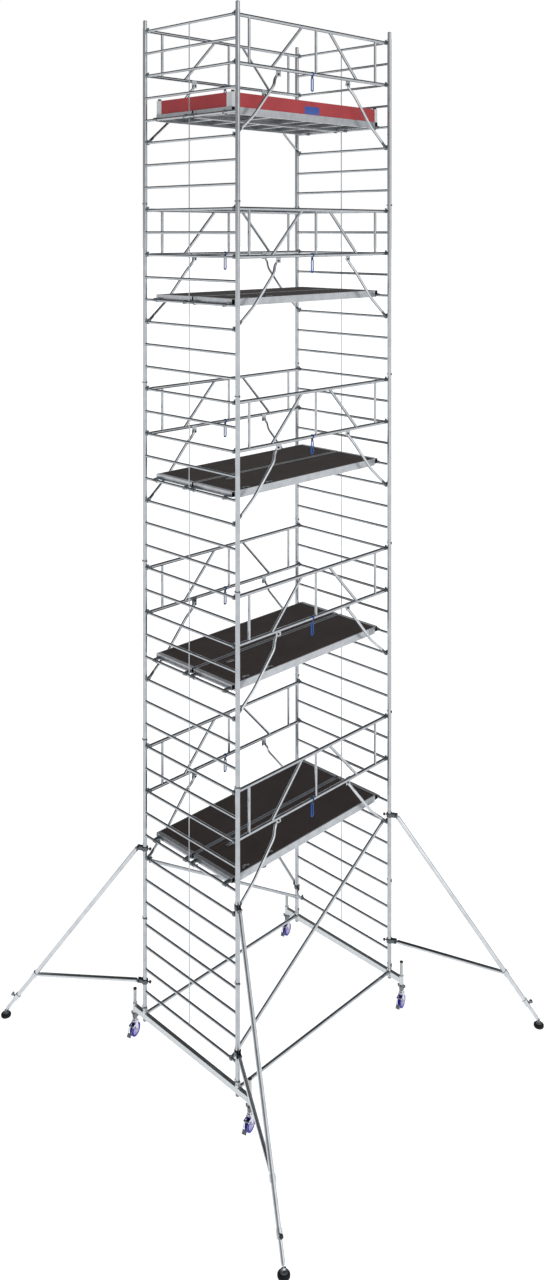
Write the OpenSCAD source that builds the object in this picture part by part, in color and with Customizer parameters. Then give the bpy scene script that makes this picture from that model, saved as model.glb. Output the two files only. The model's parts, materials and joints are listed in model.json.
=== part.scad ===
// Mobile tower scaffold: stacked ladder frames, clip-on guardrails and decks, braces,
// toe boards, castors on height spindles, and swing-out outriggers.
// Millimetres, +Z up. Origin on the floor, at the centre of the tower's plan.
// X runs along the bay, Y along the rungs; corners are 1 (-X,-Y), 2 (-X,+Y), 3 (+X,-Y), 4 (+X,+Y).

/* [Bay] */
// Distance between the two ladder sides, post axis to post axis
bay_length = 2478; // [2150:1:2700]
// Distance between the two posts of one ladder frame, axis to axis
bay_width = 1508; // [1400:1:1700]
// Height from one rung to the next
rung_pitch = 250; // [240:1:300]
// Height of the lowest rung above the foot of its frame
first_rung = 210; // [180:1:215]

/* [Frame tubes] */
// Outside diameter of the posts
post_d = 50; // [46:0.5:60]
// Wall of the posts
post_wall = 1.8; // [1.6:0.1:2.5]
// Outside diameter of the rungs
rung_d = 30; // [25:0.5:36]
// Diameter of the tie rod up the middle of each ladder frame
tie_rod_d = 12; // [8:0.5:14]
// Height that a spigot stands out of the top of its post
spigot_out = 85; // [70:1:110]
// Outside diameter of the part of a spigot that stands out
spigot_d = 44.4; // [38:0.1:45]
// Wall of rungs, rails, braces and struts
tube_wall = 1.6; // [1.2:0.1:2.2]

/* [Castor beams] */
// Height of the top of the castor beams above the floor
beam_top = 350; // [340:1:400]
// Depth of a castor beam
beam_h = 60; // [50:1:66]
// Width of a castor beam
beam_w = 45; // [40:1:54]
// Height of the collar that a post stands on
collar_h = 30; // [20:1:45]
// Distance from a post axis out to its castor's axis, along the beam
castor_reach = 180; // [160:1:260]

/* [Castors] */
// Diameter of the wheels
wheel_d = 150; // [125:1:155]
// Width of the wheels
wheel_w = 45; // [32:1:50]
// Height of a whole castor, floor to the top of its bearing
castor_h = 206; // [200:1:212]
// Turn of the castors about their spindles as they stand
castor_turn = 15; // [-180:5:180]
// Slope of the brake pedals below the horizontal
pedal_slope = 60; // [50:1:65]
// Diameter of the height spindle
spindle_d = 38; // [32:0.5:42]
// Height that the spindle can be screwed out
spindle_travel = 150; // [60:1:200]
// Overall width of the spindle nut across its wings
nut_span = 97; // [80:1:120]
// Height of the spindle nut
nut_h = 64; // [40:1:64]

/* [Guardrails] */
// Distance that the guardrails run inside the post axes
guard_inset = 47.5; // [46:0.5:60]
// Diameter of the rails
rail_d = 40; // [34:0.5:42]
// Diameter of the uprights between two rails
upright_d = 30; // [20:0.5:34]
// Diameter of the diagonals between two rails
diagonal_d = 32; // [20:0.5:34]
// Distance from the middle of the bay to the outer uprights
upright_x = 1030; // [900:1:1040]
// Distance from the middle to the top of a guardrail diagonal
diagonal_top_x = 220; // [120:1:300]
// Distance from the middle to the foot of a guardrail diagonal
diagonal_foot_x = 700; // [500:1:800]
// Distance from the middle to the strut brackets
bracket_x = 570; // [500:1:620]
// Diameter of the struts
strut_d = 32; // [25:0.5:36]

/* [Braces] */
// Diameter of the long diagonal braces
brace_d = 38; // [30:0.5:42]
// Distance that the long braces run inside the post axes
brace_inset = 90; // [88:0.5:96]
// Diameter of the base rails
base_rail_d = 40; // [30:0.5:48]

/* [Decks] */
// Width of one deck; two lie side by side
deck_w = 600; // [560:1:640]
// Gap between the two decks of a level
deck_gap = 24; // [4:1:60]
// Height of the deck's top above the axis of the rungs that it hooks on
deck_rise = 60; // [52:1:70]
// Depth of the deck's side profile
deck_depth = 75; // [60:1:90]
// Distance from a rung axis to the end of the deck's frame
deck_end_gap = 48; // [36:1:60]
// Thickness of the plywood
ply_t = 12; // [9:0.5:13]
// Length of the hatch along the deck
hatch_l = 550; // [400:1:650]
// Width of the hatch across the deck
hatch_w = 480; // [400:1:500]
// Distance from the end of the deck to the hatch
hatch_end_gap = 152; // [120:1:300]

/* [Toe boards] */
// Height of the toe boards
toe_h = 150; // [100:1:180]
// Thickness of the toe boards
toe_t = 25; // [18:0.5:30]

/* [Outriggers] */
// Diameter of the outrigger's main tube
outrigger_d = 50; // [44:0.5:60]
// Diameter of the leg that slides in it
leg_d = 42; // [30:0.5:42]
// Diameter of the lower arm
arm_d = 45; // [35:0.5:48]
// Distance from the post axis out to the middle of the foot
outrigger_reach = 1720; // [1400:1:2000]
// Turn of an outrigger away from the Y direction, towards the X direction
outrigger_turn = 30; // [0:1:60]
// Height of the upper clamp
upper_clamp_z = 2190; // [2180:1:2230]
// Height of the lower clamp
lower_clamp_z = 702; // [690:1:740]
// Diameter of the foot's pad
pad_d = 115; // [90:1:140]
// Thickness of the foot's pad
pad_h = 40; // [20:1:44]

/* [Clearances] */
// Gap left between a piece and its seat
seat = 0.3; // [0.2:0.05:0.5]

/* [Hidden] */
$fn = 40;

LEVELS = [1:5];
CORNERS = [[-1, -1], [-1, 1], [1, -1], [1, 1]];
base_rungs = 4;
frame_rungs = 8;
px = bay_length / 2;
py = bay_width / 2;
post_id = post_d - 2 * post_wall;
frame_foot = beam_top + collar_h;
spigot_in = 110;
pin_d = 8;
pin_rise = 34;

// Height of the axis of rung k, counted from 1 at the bottom of the tower
function rung_z(k) = frame_foot + first_rung + (k - 1) * rung_pitch;
// Height of the foot of frame i, where 0 is the base frame
function frame_z(i) = frame_foot + (i == 0 ? 0 : base_rungs + (i - 1) * frame_rungs) * rung_pitch;
// The rung that the decks of a level hook on
function deck_rung(level) = frame_rungs * level;
// Height of the top of a level's plywood
function deck_z(level) = rung_z(deck_rung(level)) + deck_rise;

// ---------- shared shapes ----------

// Turns a child that stands on +Z so that it runs from a towards b
module along(a, b) {
    v = b - a;
    translate(a) rotate([0, acos(v.z / norm(v)), atan2(v.y, v.x)]) children();
}

module pipe(d, wall, h) {
    linear_extrude(h) difference() {
        circle(d = d);
        circle(d = d - 2 * wall);
    }
}

module pipe_between(a, b, d, wall = tube_wall) {
    along(a, b) pipe(d, wall, norm(b - a));
}

module rod_between(a, b, d) {
    along(a, b) cylinder(d = d, h = norm(b - a));
}

// A cylinder along Y, centred
module y_rod(d, h) {
    rotate([90, 0, 0]) cylinder(d = d, h = h, center = true);
}

// Six-lobed hand knob: head from z = 0 to z = head_h
module star_knob(across, head_h) {
    lobe_r = across * 0.14;
    linear_extrude(head_h) {
        circle(r = across / 2 - lobe_r);
        for (i = [0:5]) rotate(i * 60) translate([across / 2 - lobe_r, 0]) circle(r = lobe_r, $fn = 20);
    }
}

// ---------- castor beams and base ----------

sleeve_d = spindle_d + 2 * seat + 12;
sleeve_top = beam_top + 22;
sleeve_foot = castor_h + nut_h + 4 * seat;
castor_y = py + castor_reach;
knob_bolt_d = 10;
tongue_t = 6;
stub_d = post_id - 2 * seat;
stub_h = 95;

module castor_beam() {
    difference() {
        translate([-beam_w / 2, -castor_y, beam_top - beam_h]) cube([beam_w, 2 * castor_y, beam_h]);
        translate([-beam_w / 2 + 3, -castor_y - 1, beam_top - beam_h + 3])
            cube([beam_w - 6, 2 * castor_y + 2, beam_h - 6]);
        for (s = [-1, 1]) {
            translate([0, s * castor_y, 0]) cylinder(d = sleeve_d + 2 * seat, h = beam_top + 50);
            translate([0, s * py, 0]) cylinder(d = knob_bolt_d + 2 * seat, h = beam_top - beam_h + 10);
        }
    }
}

module post_stub() {
    translate([0, 0, beam_top + seat]) difference() {
        union() {
            cylinder(d = post_d + 6, h = collar_h - 2 * seat);
            cylinder(d = stub_d, h = collar_h + stub_h);
        }
        translate([0, 0, -1]) cylinder(d = stub_d - 8, h = collar_h + stub_h + 2);
        translate([0, 0, collar_h + pin_rise - seat]) y_rod(pin_d + 2 * seat, post_d + 10);
    }
}

module caster_beams() {
    color("#9aa0a4") for (x = [-px, px]) translate([x, 0, 0]) {
        castor_beam();
        for (s = [-1, 1]) {
            translate([0, s * py, 0]) post_stub();
            translate([0, s * castor_y, sleeve_foot])
                pipe(sleeve_d, (sleeve_d - spindle_d) / 2 - seat, sleeve_top - sleeve_foot);
        }
    }
}

module beam_lock_knobs() {
    knob_top = beam_top - beam_h - tongue_t - 2 * seat;
    color("#26282a") for (c = CORNERS) translate([c.x * px, c.y * py, 0]) {
        translate([0, 0, knob_top - 26]) star_knob(52, 26 - seat);
        translate([0, 0, knob_top - 2 * seat]) cylinder(d = knob_bolt_d, h = tongue_t + 18);
    }
}

base_rail_z = beam_top - beam_h / 2 + 12;

// End fitting of a base rail: a plate against the beam's side with a tongue under the beam
module beam_fitting() {
    face = beam_w / 2 + seat;
    difference() {
        union() {
            translate([face, -24, beam_top - beam_h - tongue_t - seat])
                cube([tongue_t, 48, beam_h + tongue_t - 4]);
            translate([-18, -24, beam_top - beam_h - tongue_t - seat]) cube([face + 19, 48, tongue_t]);
        }
        cylinder(d = knob_bolt_d + 2 * seat, h = beam_top);
    }
    translate([face + tongue_t + seat, 0, base_rail_z]) rotate([0, 90, 0])
        cylinder(d = base_rail_d - 2 * tube_wall - 2 * seat, h = 60);
}

module base_rails() {
    rail_end = px - beam_w / 2 - tongue_t - 2 * seat;
    color("#b9bdc0") for (s = [-1, 1]) translate([0, s * py, 0]) {
        pipe_between([-rail_end, 0, base_rail_z], [rail_end, 0, base_rail_z], base_rail_d);
        for (m = [0, 1]) mirror([m, 0, 0]) translate([-px, 0, 0]) beam_fitting();
    }
}

// ---------- ladder frames ----------

module post(rungs) {
    difference() {
        pipe(post_d, post_wall, rungs * rung_pitch - seat);
        translate([0, 0, pin_rise]) y_rod(pin_d + 2 * seat, post_d + 10);
    }
}

module spigot() {
    neck = 5;
    difference() {
        union() {
            translate([0, 0, -spigot_in]) cylinder(d = stub_d, h = spigot_in - seat);
            translate([0, 0, -1]) cylinder(d = spigot_d, h = spigot_out - neck + 1);
            translate([0, 0, spigot_out - neck]) cylinder(d1 = spigot_d, d2 = spigot_d - 2 * neck, h = neck);
        }
        translate([0, 0, -spigot_in - 1]) cylinder(d = spigot_d - 12, h = spigot_in + spigot_out + 2);
        translate([0, 0, pin_rise]) y_rod(pin_d + 2 * seat, post_d + 10);
    }
}

// A rung between two posts, saddle-cut to both
module rung() {
    difference() {
        rotate([90, 0, 0]) translate([0, 0, -py]) pipe(rung_d, tube_wall, bay_width);
        for (s = [-1, 1]) translate([0, s * py, -rung_d])
            cylinder(d = post_d + 2 * seat, h = 2 * rung_d);
    }
}

// A length of tie rod that starts on the rung at height z and ends at z + reach
module tie_rod(z, reach) {
    foot = rung_d / 2 + seat;
    translate([0, 0, z + foot]) cylinder(d = tie_rod_d, h = reach - foot);
}

// Both ladder frames of one lift, from frame foot to spigots
module ladder_frames(index) {
    rungs = index == 0 ? base_rungs : frame_rungs;
    foot = frame_z(index);
    half = rung_pitch / 2 - seat;
    color("#b4b8bb") for (x = [-px, px]) translate([x, 0, foot]) {
        for (y = [-py, py]) translate([0, y, 0]) {
            post(rungs);
            translate([0, 0, rungs * rung_pitch]) spigot();
        }
        for (k = [0:rungs - 1]) translate([0, 0, first_rung + k * rung_pitch]) rung();
        // The tie rod runs from rung to rung, and half a pitch past a joint to meet the next one
        for (k = [0:rungs - 2]) tie_rod(first_rung + k * rung_pitch, rung_pitch - rung_d / 2 - seat);
        if (index > 0) mirror([0, 0, 1]) tie_rod(-first_rung, half);
        if (index < 5) tie_rod(first_rung + (rungs - 1) * rung_pitch, half);
    }
}

// Locking pin through post and spigot, with a spring strip round the outside of the post
module joint_clip(side) {
    reach = post_d / 2 + 12;
    y_rod(pin_d, 2 * reach - 8);
    for (s = [-1, 1]) translate([-5, s * (reach - 4) - 4, -11]) cube([10, 8, 22]);
    rotate(side > 0 ? -90 : 90) rotate_extrude(angle = 180) translate([reach - 6, -4]) square([3, 8]);
}

module joint_clips() {
    color("#5c6165") for (i = [0:5]) for (c = CORNERS)
        translate([c.x * px, c.y * py, frame_z(i) + pin_rise]) joint_clip(c.x);
}

// ---------- claws that snap on the rungs ----------

claw_w = 30;
claw_wall = 8;
tube_gap = rung_d / 2 + claw_wall + 22;

// Claw on a rung at the origin. The tube leaves at angle `rise` above +X; the mouth faces `mouth`.
module claw(rise, mouth, tube_d) {
    difference() {
        union() {
            y_rod(rung_d + 2 * claw_wall, claw_w);
            rotate([0, -rise, 0]) {
                translate([0, -claw_w / 2 + 2, -15]) cube([tube_gap - seat, claw_w - 4, 30]);
                translate([tube_gap - 1, 0, 0]) rotate([0, 90, 0])
                    cylinder(d = tube_d - 2 * tube_wall - 2 * seat, h = 36);
            }
            rotate([0, -rise - 75, 0]) translate([rung_d / 2 + 2, -9, -7]) cube([claw_wall + 14, 18, 14]);
        }
        y_rod(rung_d + 2 * seat, 3 * claw_w);
        rotate([0, -mouth, 0]) translate([0, -claw_w, -rung_d * 0.42])
            cube([rung_d, 2 * claw_w, rung_d * 0.84]);
    }
}

strut_drop = 3 * rung_pitch;
strut_knee = [px - 285, 515];
strut_rise = atan2(strut_drop - strut_knee[1], px - strut_knee[0]);
brace_rise = atan2(6 * rung_pitch, bay_length);

// Deck hook over the rung: a half ring with an arm back to the deck's end profile
module deck_hook() {
    ring = rung_d / 2 + seat;
    rotate([90, 0, 0]) linear_extrude(44, center = true) {
        difference() {
            circle(r = ring + 8);
            circle(r = ring);
            translate([-ring - 9, -3 * ring]) square([2 * ring + 18, 2.6 * ring]);
        }
        difference() {
            translate([0, ring - 6]) square([deck_end_gap - seat, 16]);
            circle(r = ring);
        }
    }
}

// Wind latch: a plate beside the hook that closes under the rung
module wind_latch() {
    ring = rung_d / 2 + seat;
    rotate([90, 0, 0]) linear_extrude(8, center = true) difference() {
        union() {
            circle(r = ring + 6);
            translate([0, -ring - 6]) square([deck_end_gap - seat, 16]);
        }
        circle(r = ring);
        translate([-ring - 7, 0]) square([2 * ring + 14, ring + 7]);
    }
}

function deck_y(side) = side * (deck_gap / 2 + deck_w / 2);
hook_y = deck_w / 2 - 40;

// Every claw of one level on the -X side of the tower
module level_claws(level) {
    deck = rung_z(deck_rung(level));
    for (s = [-1, 1]) {
        translate([0, s * (py - guard_inset), 0]) {
            for (k = [2, 4]) translate([0, 0, deck + k * rung_pitch]) claw(0, 270, rail_d);
            translate([0, 0, deck - rung_pitch]) claw(strut_rise, 250, strut_d);
        }
        for (h = [-1, 1]) translate([0, deck_y(s) + h * hook_y, deck]) {
            deck_hook();
            translate([0, -h * 30, 0]) wind_latch();
        }
    }
}

module hook_claws() {
    color("#6d7276") {
        for (level = LEVELS) for (m = [0, 1]) mirror([m, 0, 0]) translate([-px, 0, 0]) level_claws(level);
        for (turn = [0, 180]) rotate(turn) translate([0, -py + brace_inset, 0]) {
            translate([-px, 0, rung_z(1)]) claw(brace_rise, 250, brace_d);
            mirror([1, 0, 0]) translate([-px, 0, rung_z(7)]) claw(-brace_rise, 200, brace_d);
        }
    }
}

module diagonal_braces() {
    cut = tube_gap;
    low = [-px + cut * cos(brace_rise), -py + brace_inset, rung_z(1) + cut * sin(brace_rise)];
    high = [px - cut * cos(brace_rise), -py + brace_inset, rung_z(7) - cut * sin(brace_rise)];
    color("#b9bdc0") for (s = [0, 180]) rotate(s) pipe_between(low, high, brace_d);
}

// ---------- guardrails and struts ----------

plate_t = 6;
plate_w = 70;
pivot_drop = 52;
bolt_d = 12;
eye_w = 20;
eye_y = rail_d / 2 + plate_t + eye_w / 2 + 2 * seat;

// One guardrail unit with its lower rail at the origin; +Y is towards the middle of the tower
module guardrail_unit() {
    gap = 2 * rung_pitch;
    rail_end = px - tube_gap;
    for (z = [0, gap]) pipe_between([-rail_end, 0, z], [rail_end, 0, z], rail_d);
    difference() {
        union() {
            for (x = [-upright_x, 0, upright_x]) translate([x, 0, 0]) pipe(upright_d, tube_wall, gap);
            for (s = [-1, 1])
                pipe_between([s * diagonal_foot_x, 0, 0], [s * diagonal_top_x, 0, gap], diagonal_d);
        }
        for (z = [0, gap]) translate([-px, 0, z]) rotate([0, 90, 0])
            cylinder(d = rail_d + 2 * seat, h = bay_length);
        for (z = [-rail_d, gap]) translate([-px, -rail_d, z]) cube([bay_length, 2 * rail_d, rail_d]);
    }
    for (s = [-1, 1]) translate([s * bracket_x, rail_d / 2 + seat, 0]) difference() {
        translate([-plate_w / 2, 0, -pivot_drop - 24]) cube([plate_w, plate_t, pivot_drop + 36]);
        translate([0, 0, -pivot_drop]) y_rod(bolt_d + 2 * seat, 50);
    }
}

// Places a child on both long sides of a level, with +Y towards the middle
module on_guard_lines(level) {
    for (turn = [0, 1]) mirror([0, turn, 0])
        translate([0, -py + guard_inset, rung_z(deck_rung(level) + 2)]) children();
}

module guardrails(level) {
    color("#b9bdc0") on_guard_lines(level) guardrail_unit();
}

// A bent strut from the bracket's bolt down to the claw, on the +X half
module strut() {
    hip = [bracket_x + 48, eye_y - 3, -pivot_drop - 58];
    waist = [bracket_x + 90, 0, -pivot_drop - 128];
    knee = [strut_knee[0], 0, -strut_knee[1]];
    end = [px - tube_gap * cos(strut_rise), 0, -strut_drop + tube_gap * sin(strut_rise)];
    eye = [bracket_x, eye_y, -pivot_drop];
    bead = strut_d + 1;
    bore = strut_d - 2 * tube_wall;
    // Share of each straight that is left solid next to a bend
    solid_end = 0.1;
    difference() {
        union() {
            translate(eye) y_rod(strut_d + 4, eye_w);
            rod_between(eye, hip, eye_w - 3);
            rod_between(hip, waist, strut_d);
            rod_between(waist, knee, strut_d);
            rod_between(knee, end, strut_d);
            for (p = [hip, waist, knee]) translate(p) sphere(d = bead);
        }
        rod_between(waist + solid_end * (knee - waist), knee - solid_end * (knee - waist), bore);
        rod_between(knee + 2 * solid_end * (end - knee), end + (end - knee), bore);
        translate(eye) y_rod(bolt_d + 2 * seat, 60);
    }
}

module pivot_bolt() {
    head = rail_d / 2 + seat;
    translate([bracket_x, head - 9, -pivot_drop]) rotate([-90, 0, 0]) {
        cylinder(d = bolt_d, h = plate_t + eye_w + 26);
        cylinder(d = 22, h = 9 - seat);
        translate([0, 0, 9 + plate_t + eye_w + 3 * seat]) cylinder(d = 22, h = 9);
    }
}

module guardrail_struts() {
    color("#a9adb0") for (level = LEVELS) on_guard_lines(level) for (m = [0, 1]) mirror([m, 0, 0]) {
        strut();
        pivot_bolt();
    }
}

// Storage hook: a long loop under a band that snaps round the lower rail
module rail_hook() {
    loop_w = 48;
    loop_h = 160;
    drop = rail_d / 2 + 4;
    band_w = 18;
    wire = 14;
    rotate([0, 90, 0]) linear_extrude(band_w, center = true) difference() {
        union() {
            circle(d = rail_d + 2 * seat + 8);
            translate([0, -5]) square([drop + wire, 10]);
        }
        circle(d = rail_d + 2 * seat);
    }
    translate([0, 0, -drop - seat - wire]) rotate([90, 0, 0]) linear_extrude(10, center = true) difference() {
        union() {
            translate([-loop_w / 2, -loop_h + loop_w / 2]) square([loop_w, loop_h - loop_w / 2]);
            translate([0, -loop_h + loop_w / 2]) circle(d = loop_w);
        }
        translate([-loop_w / 2 + wire, -loop_h + loop_w / 2]) square([loop_w - 2 * wire, loop_h - loop_w / 2 - wire]);
        translate([0, -loop_h + loop_w / 2]) circle(d = loop_w - 2 * wire);
    }
}

module rail_hooks() {
    color("#1f5fa8") for (level = LEVELS) on_guard_lines(level) translate([-60, 0, 0]) rail_hook();
}

// ---------- decks ----------

lip_w = 14;
lip_rise = 2;
web_t = 3;
ledge_w = 34;
end_w = 50;
end_depth = 55;
deck_end_x = px - deck_end_gap;
bearer_x = [for (i = [-2:2]) i * (deck_end_x - end_w) / 3];
hatch_x0 = -deck_end_x + hatch_end_gap;
leaf_l = 20;
cheek_t = 3;
toe_y = deck_gap / 2 + deck_w - toe_t / 2 - cheek_t - 1;
hatch_y0 = -toe_y + toe_t / 2 + cheek_t + leaf_l + 3;
barrel_d = 10;
hinge_z = barrel_d / 2 + 2 * seat;
ply_gap = 1.5;

// Side profile of a deck, seen along X: outer face at y = 0, the deck on the +Y side
module side_profile() {
    ledge_z = -ply_t - seat;
    polygon([[0, lip_rise], [lip_w, lip_rise], [lip_w, ledge_z], [ledge_w, ledge_z],
        [ledge_w, ledge_z - web_t], [web_t, ledge_z - web_t], [web_t, web_t - deck_depth],
        [24, web_t - deck_depth], [24, -deck_depth], [0, -deck_depth]]);
}

// Aluminium frame of one deck, its middle at y = 0 and its top at z = 0
module deck_frame(bearers) {
    inner_x = deck_end_x - end_w;
    for (m = [0, 1]) mirror([0, m, 0]) translate([-inner_x + seat, -deck_w / 2, 0])
        rotate([90, 0, 90]) linear_extrude(2 * inner_x - 2 * seat) side_profile();
    for (m = [0, 1]) mirror([m, 0, 0]) translate([inner_x, -deck_w / 2, -end_depth]) difference() {
        cube([end_w, deck_w, end_depth + lip_rise]);
        translate([2.5, -1, 2.5]) cube([end_w - 5, deck_w + 2, end_depth + lip_rise - 5]);
    }
    for (x = bearers) translate([x - 20, -deck_w / 2 + web_t + seat, -ply_t - web_t - 2 * seat - 40])
        difference() {
            cube([40, deck_w - 2 * web_t - 2 * seat, 40]);
            translate([2, -1, 2]) cube([36, deck_w, 36]);
        }
}

// The deck side of a hatch hinge: two knuckles with leaves, and the pin
module hinge_seat() {
    for (s = [-1, 1]) translate([s * 36 - 12, 0, 0]) difference() {
        union() {
            translate([0, 0, hinge_z]) rotate([0, 90, 0]) cylinder(d = barrel_d, h = 24);
            translate([0, -leaf_l, seat]) cube([24, leaf_l, 3]);
        }
        translate([-1, 0, hinge_z]) rotate([0, 90, 0]) cylinder(d = 6 + 2 * seat, h = 26);
    }
    translate([-50, 0, hinge_z]) rotate([0, 90, 0]) cylinder(d = 6, h = 100);
}

function hinge_x(i) = hatch_x0 + hatch_l * (0.5 + i * 0.32);

module deck_frames() {
    // Bearers of the hatched deck leave the hatch free
    hatch_bearers = [hatch_x0 - 24, hatch_x0 + hatch_l + 24, bearer_x[2] + 100, bearer_x[3], bearer_x[4]];
    color("#c3c7ca") for (level = LEVELS) translate([0, 0, deck_z(level)]) {
        translate([0, deck_y(-1), 0]) deck_frame(hatch_bearers);
        translate([0, deck_y(1), 0]) deck_frame(bearer_x);
        for (i = [-1, 1]) translate([hinge_x(i), hatch_y0, 0]) hinge_seat();
    }
}

// A sheet of plywood between two corners, its top at z = 0
module sheet(x0, y0, x1, y1) {
    translate([x0, y0, -ply_t]) cube([x1 - x0, y1 - y0, ply_t]);
}

module deck_panels() {
    x_end = deck_end_x - end_w - 2 * seat;
    y_in = deck_gap / 2 + lip_w + seat;
    y_out = deck_gap / 2 + deck_w - lip_w - seat;
    x0 = hatch_x0 - ply_gap;
    x1 = hatch_x0 + hatch_l + ply_gap;
    y1 = hatch_y0 + hatch_w + ply_gap;
    color("#463c3a") for (level = LEVELS) translate([0, 0, deck_z(level)]) {
        sheet(-x_end, y_in, x_end, y_out);
        sheet(x1 + seat, -y_out, x_end, -y_in);
        sheet(-x_end, -y_out, x0 - seat, -y_in);
        sheet(x0, y1, x1, -y_in);
        sheet(x0, -y_out, x1, hatch_y0 - ply_gap);
    }
}

// Hatch lid with its two hinge knuckles
module hatch(level) {
    color("#4a403d") translate([0, 0, deck_z(level)]) difference() {
        union() {
            sheet(hatch_x0, hatch_y0, hatch_x0 + hatch_l, hatch_y0 + hatch_w);
            for (i = [-1, 1]) translate([hinge_x(i) - 22, hatch_y0, 0]) {
                translate([0, 0, hinge_z]) rotate([0, 90, 0]) cylinder(d = barrel_d, h = 44);
                translate([0, 0, -1]) cube([44, 30, 4]);
            }
        }
        for (i = [-1, 1]) translate([hinge_x(i) - 60, hatch_y0, hinge_z]) rotate([0, 90, 0])
            cylinder(d = 6 + 2 * seat, h = 120);
    }
}

// ---------- toe boards ----------

cheek_l = 45;
toe_long = deck_end_x - 6;
toe_short = toe_y - toe_t / 2 - cheek_t - 3;
toe_x = deck_end_x - toe_t / 2 - cheek_t - 4;
toe_z = deck_z(5) + lip_rise + seat;

module toe_boards() {
    color("#a93b3f") translate([0, 0, toe_z]) for (s = [-1, 1]) {
        translate([-toe_long, s * toe_y - toe_t / 2, 0]) cube([2 * toe_long, toe_t, toe_h]);
        translate([s * toe_x - toe_t / 2, -toe_short, 0]) cube([toe_t, 2 * toe_short, toe_h]);
    }
}

// Two cheeks and a cap over the end of a board; the board comes in from -X
module toe_end() {
    w = toe_t + 2 * cheek_t + 2 * seat;
    difference() {
        translate([-cheek_l, -w / 2, 0]) cube([cheek_l + cheek_t + seat, w, toe_h + cheek_t + seat]);
        translate([-cheek_l - 1, -toe_t / 2 - seat, -1]) cube([cheek_l + 1 + seat, toe_t + 2 * seat, toe_h + 1 + seat]);
    }
}

module toe_board_ends() {
    color("#c9cdcf") translate([0, 0, toe_z]) for (s = [0, 180]) rotate(s) {
        for (m = [0, 1]) mirror([0, m, 0]) translate([toe_long, toe_y, 0]) toe_end();
        for (m = [0, 1]) mirror([m, 0, 0]) translate([toe_x, 0, 0]) rotate(90)
            translate([toe_short, 0, 0]) toe_end();
    }
}

// ---------- outriggers ----------

clamp_wall = 11;
clamp_h = 40;
hinge_rho = 80;
arm_rho = 70;
pivot_z = pad_h + 26;
cheek_y = 16;
eye_reach = 34;
top_hinge = [hinge_rho, 0, upper_clamp_z + 8];
foot_pivot = [outrigger_reach, 0, pivot_z];
outrigger_len = norm(foot_pivot - top_hinge);
leg_out = 230;
leg_in = 620;
leg_slope = (foot_pivot - top_hinge) / outrigger_len;
main_wall = 2.2;
collar_len = 70;
collar_d = outrigger_d + 13;
leg_normal = [-leg_slope.z, 0, leg_slope.x];
arm_at = 0.775;
arm_join = top_hinge + leg_slope * outrigger_len * arm_at;

function outrigger_angle(c) = atan2(c.y * cos(outrigger_turn), c.x * sin(outrigger_turn));
function main_point(s) = top_hinge + leg_slope * s;

module at_corner(i) {
    c = CORNERS[i - 1];
    translate([c.x * px, c.y * py, 0]) rotate(outrigger_angle(c)) children();
}

// Clamp round the post: ring, two cheeks drilled for a pin, and a hand knob behind
module post_clamp(pin_rho, pin_up) {
    ring_d = post_d + 2 * seat + 2 * clamp_wall;
    difference() {
        union() {
            cylinder(d = ring_d, h = clamp_h, center = true);
            translate([0, -14, -clamp_h / 2]) cube([pin_rho - 22, 28, clamp_h]);
            for (s = [-1, 1]) translate([post_d / 2 + 2, s * (cheek_y + 3) - 3, -clamp_h / 2])
                cube([pin_rho + 15 - post_d / 2, 6, clamp_h]);
        }
        cylinder(d = post_d + 2 * seat, h = clamp_h + 2, center = true);
        translate([-ring_d, 0, 0]) rotate([0, 90, 0]) cylinder(d = 12 + 2 * seat, h = ring_d);
        translate([pin_rho, 0, pin_up]) y_rod(10 + 2 * seat, 80);
    }
    translate([-post_d / 2 - 2, 0, 0]) rotate([0, -90, 0]) cylinder(d = 12, h = 24);
    translate([-post_d / 2 - 26 - seat, 0, 0]) rotate([0, -90, 0]) star_knob(34, 20);
}

// Eye on a clamp's pin with a plug that fills the end of a tube leaving along dir
module tube_eye(at, dir, plug_d) {
    difference() {
        union() {
            translate(at) y_rod(34, 2 * cheek_y - 2 * seat);
            rod_between(at, at + dir * (eye_reach - seat), 26);
            rod_between(at + dir * 26, at + dir * (eye_reach + 50), plug_d);
        }
        translate(at) y_rod(10 + 2 * seat, 80);
    }
    translate(at) y_rod(10, 2 * cheek_y + 24);
}

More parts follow.
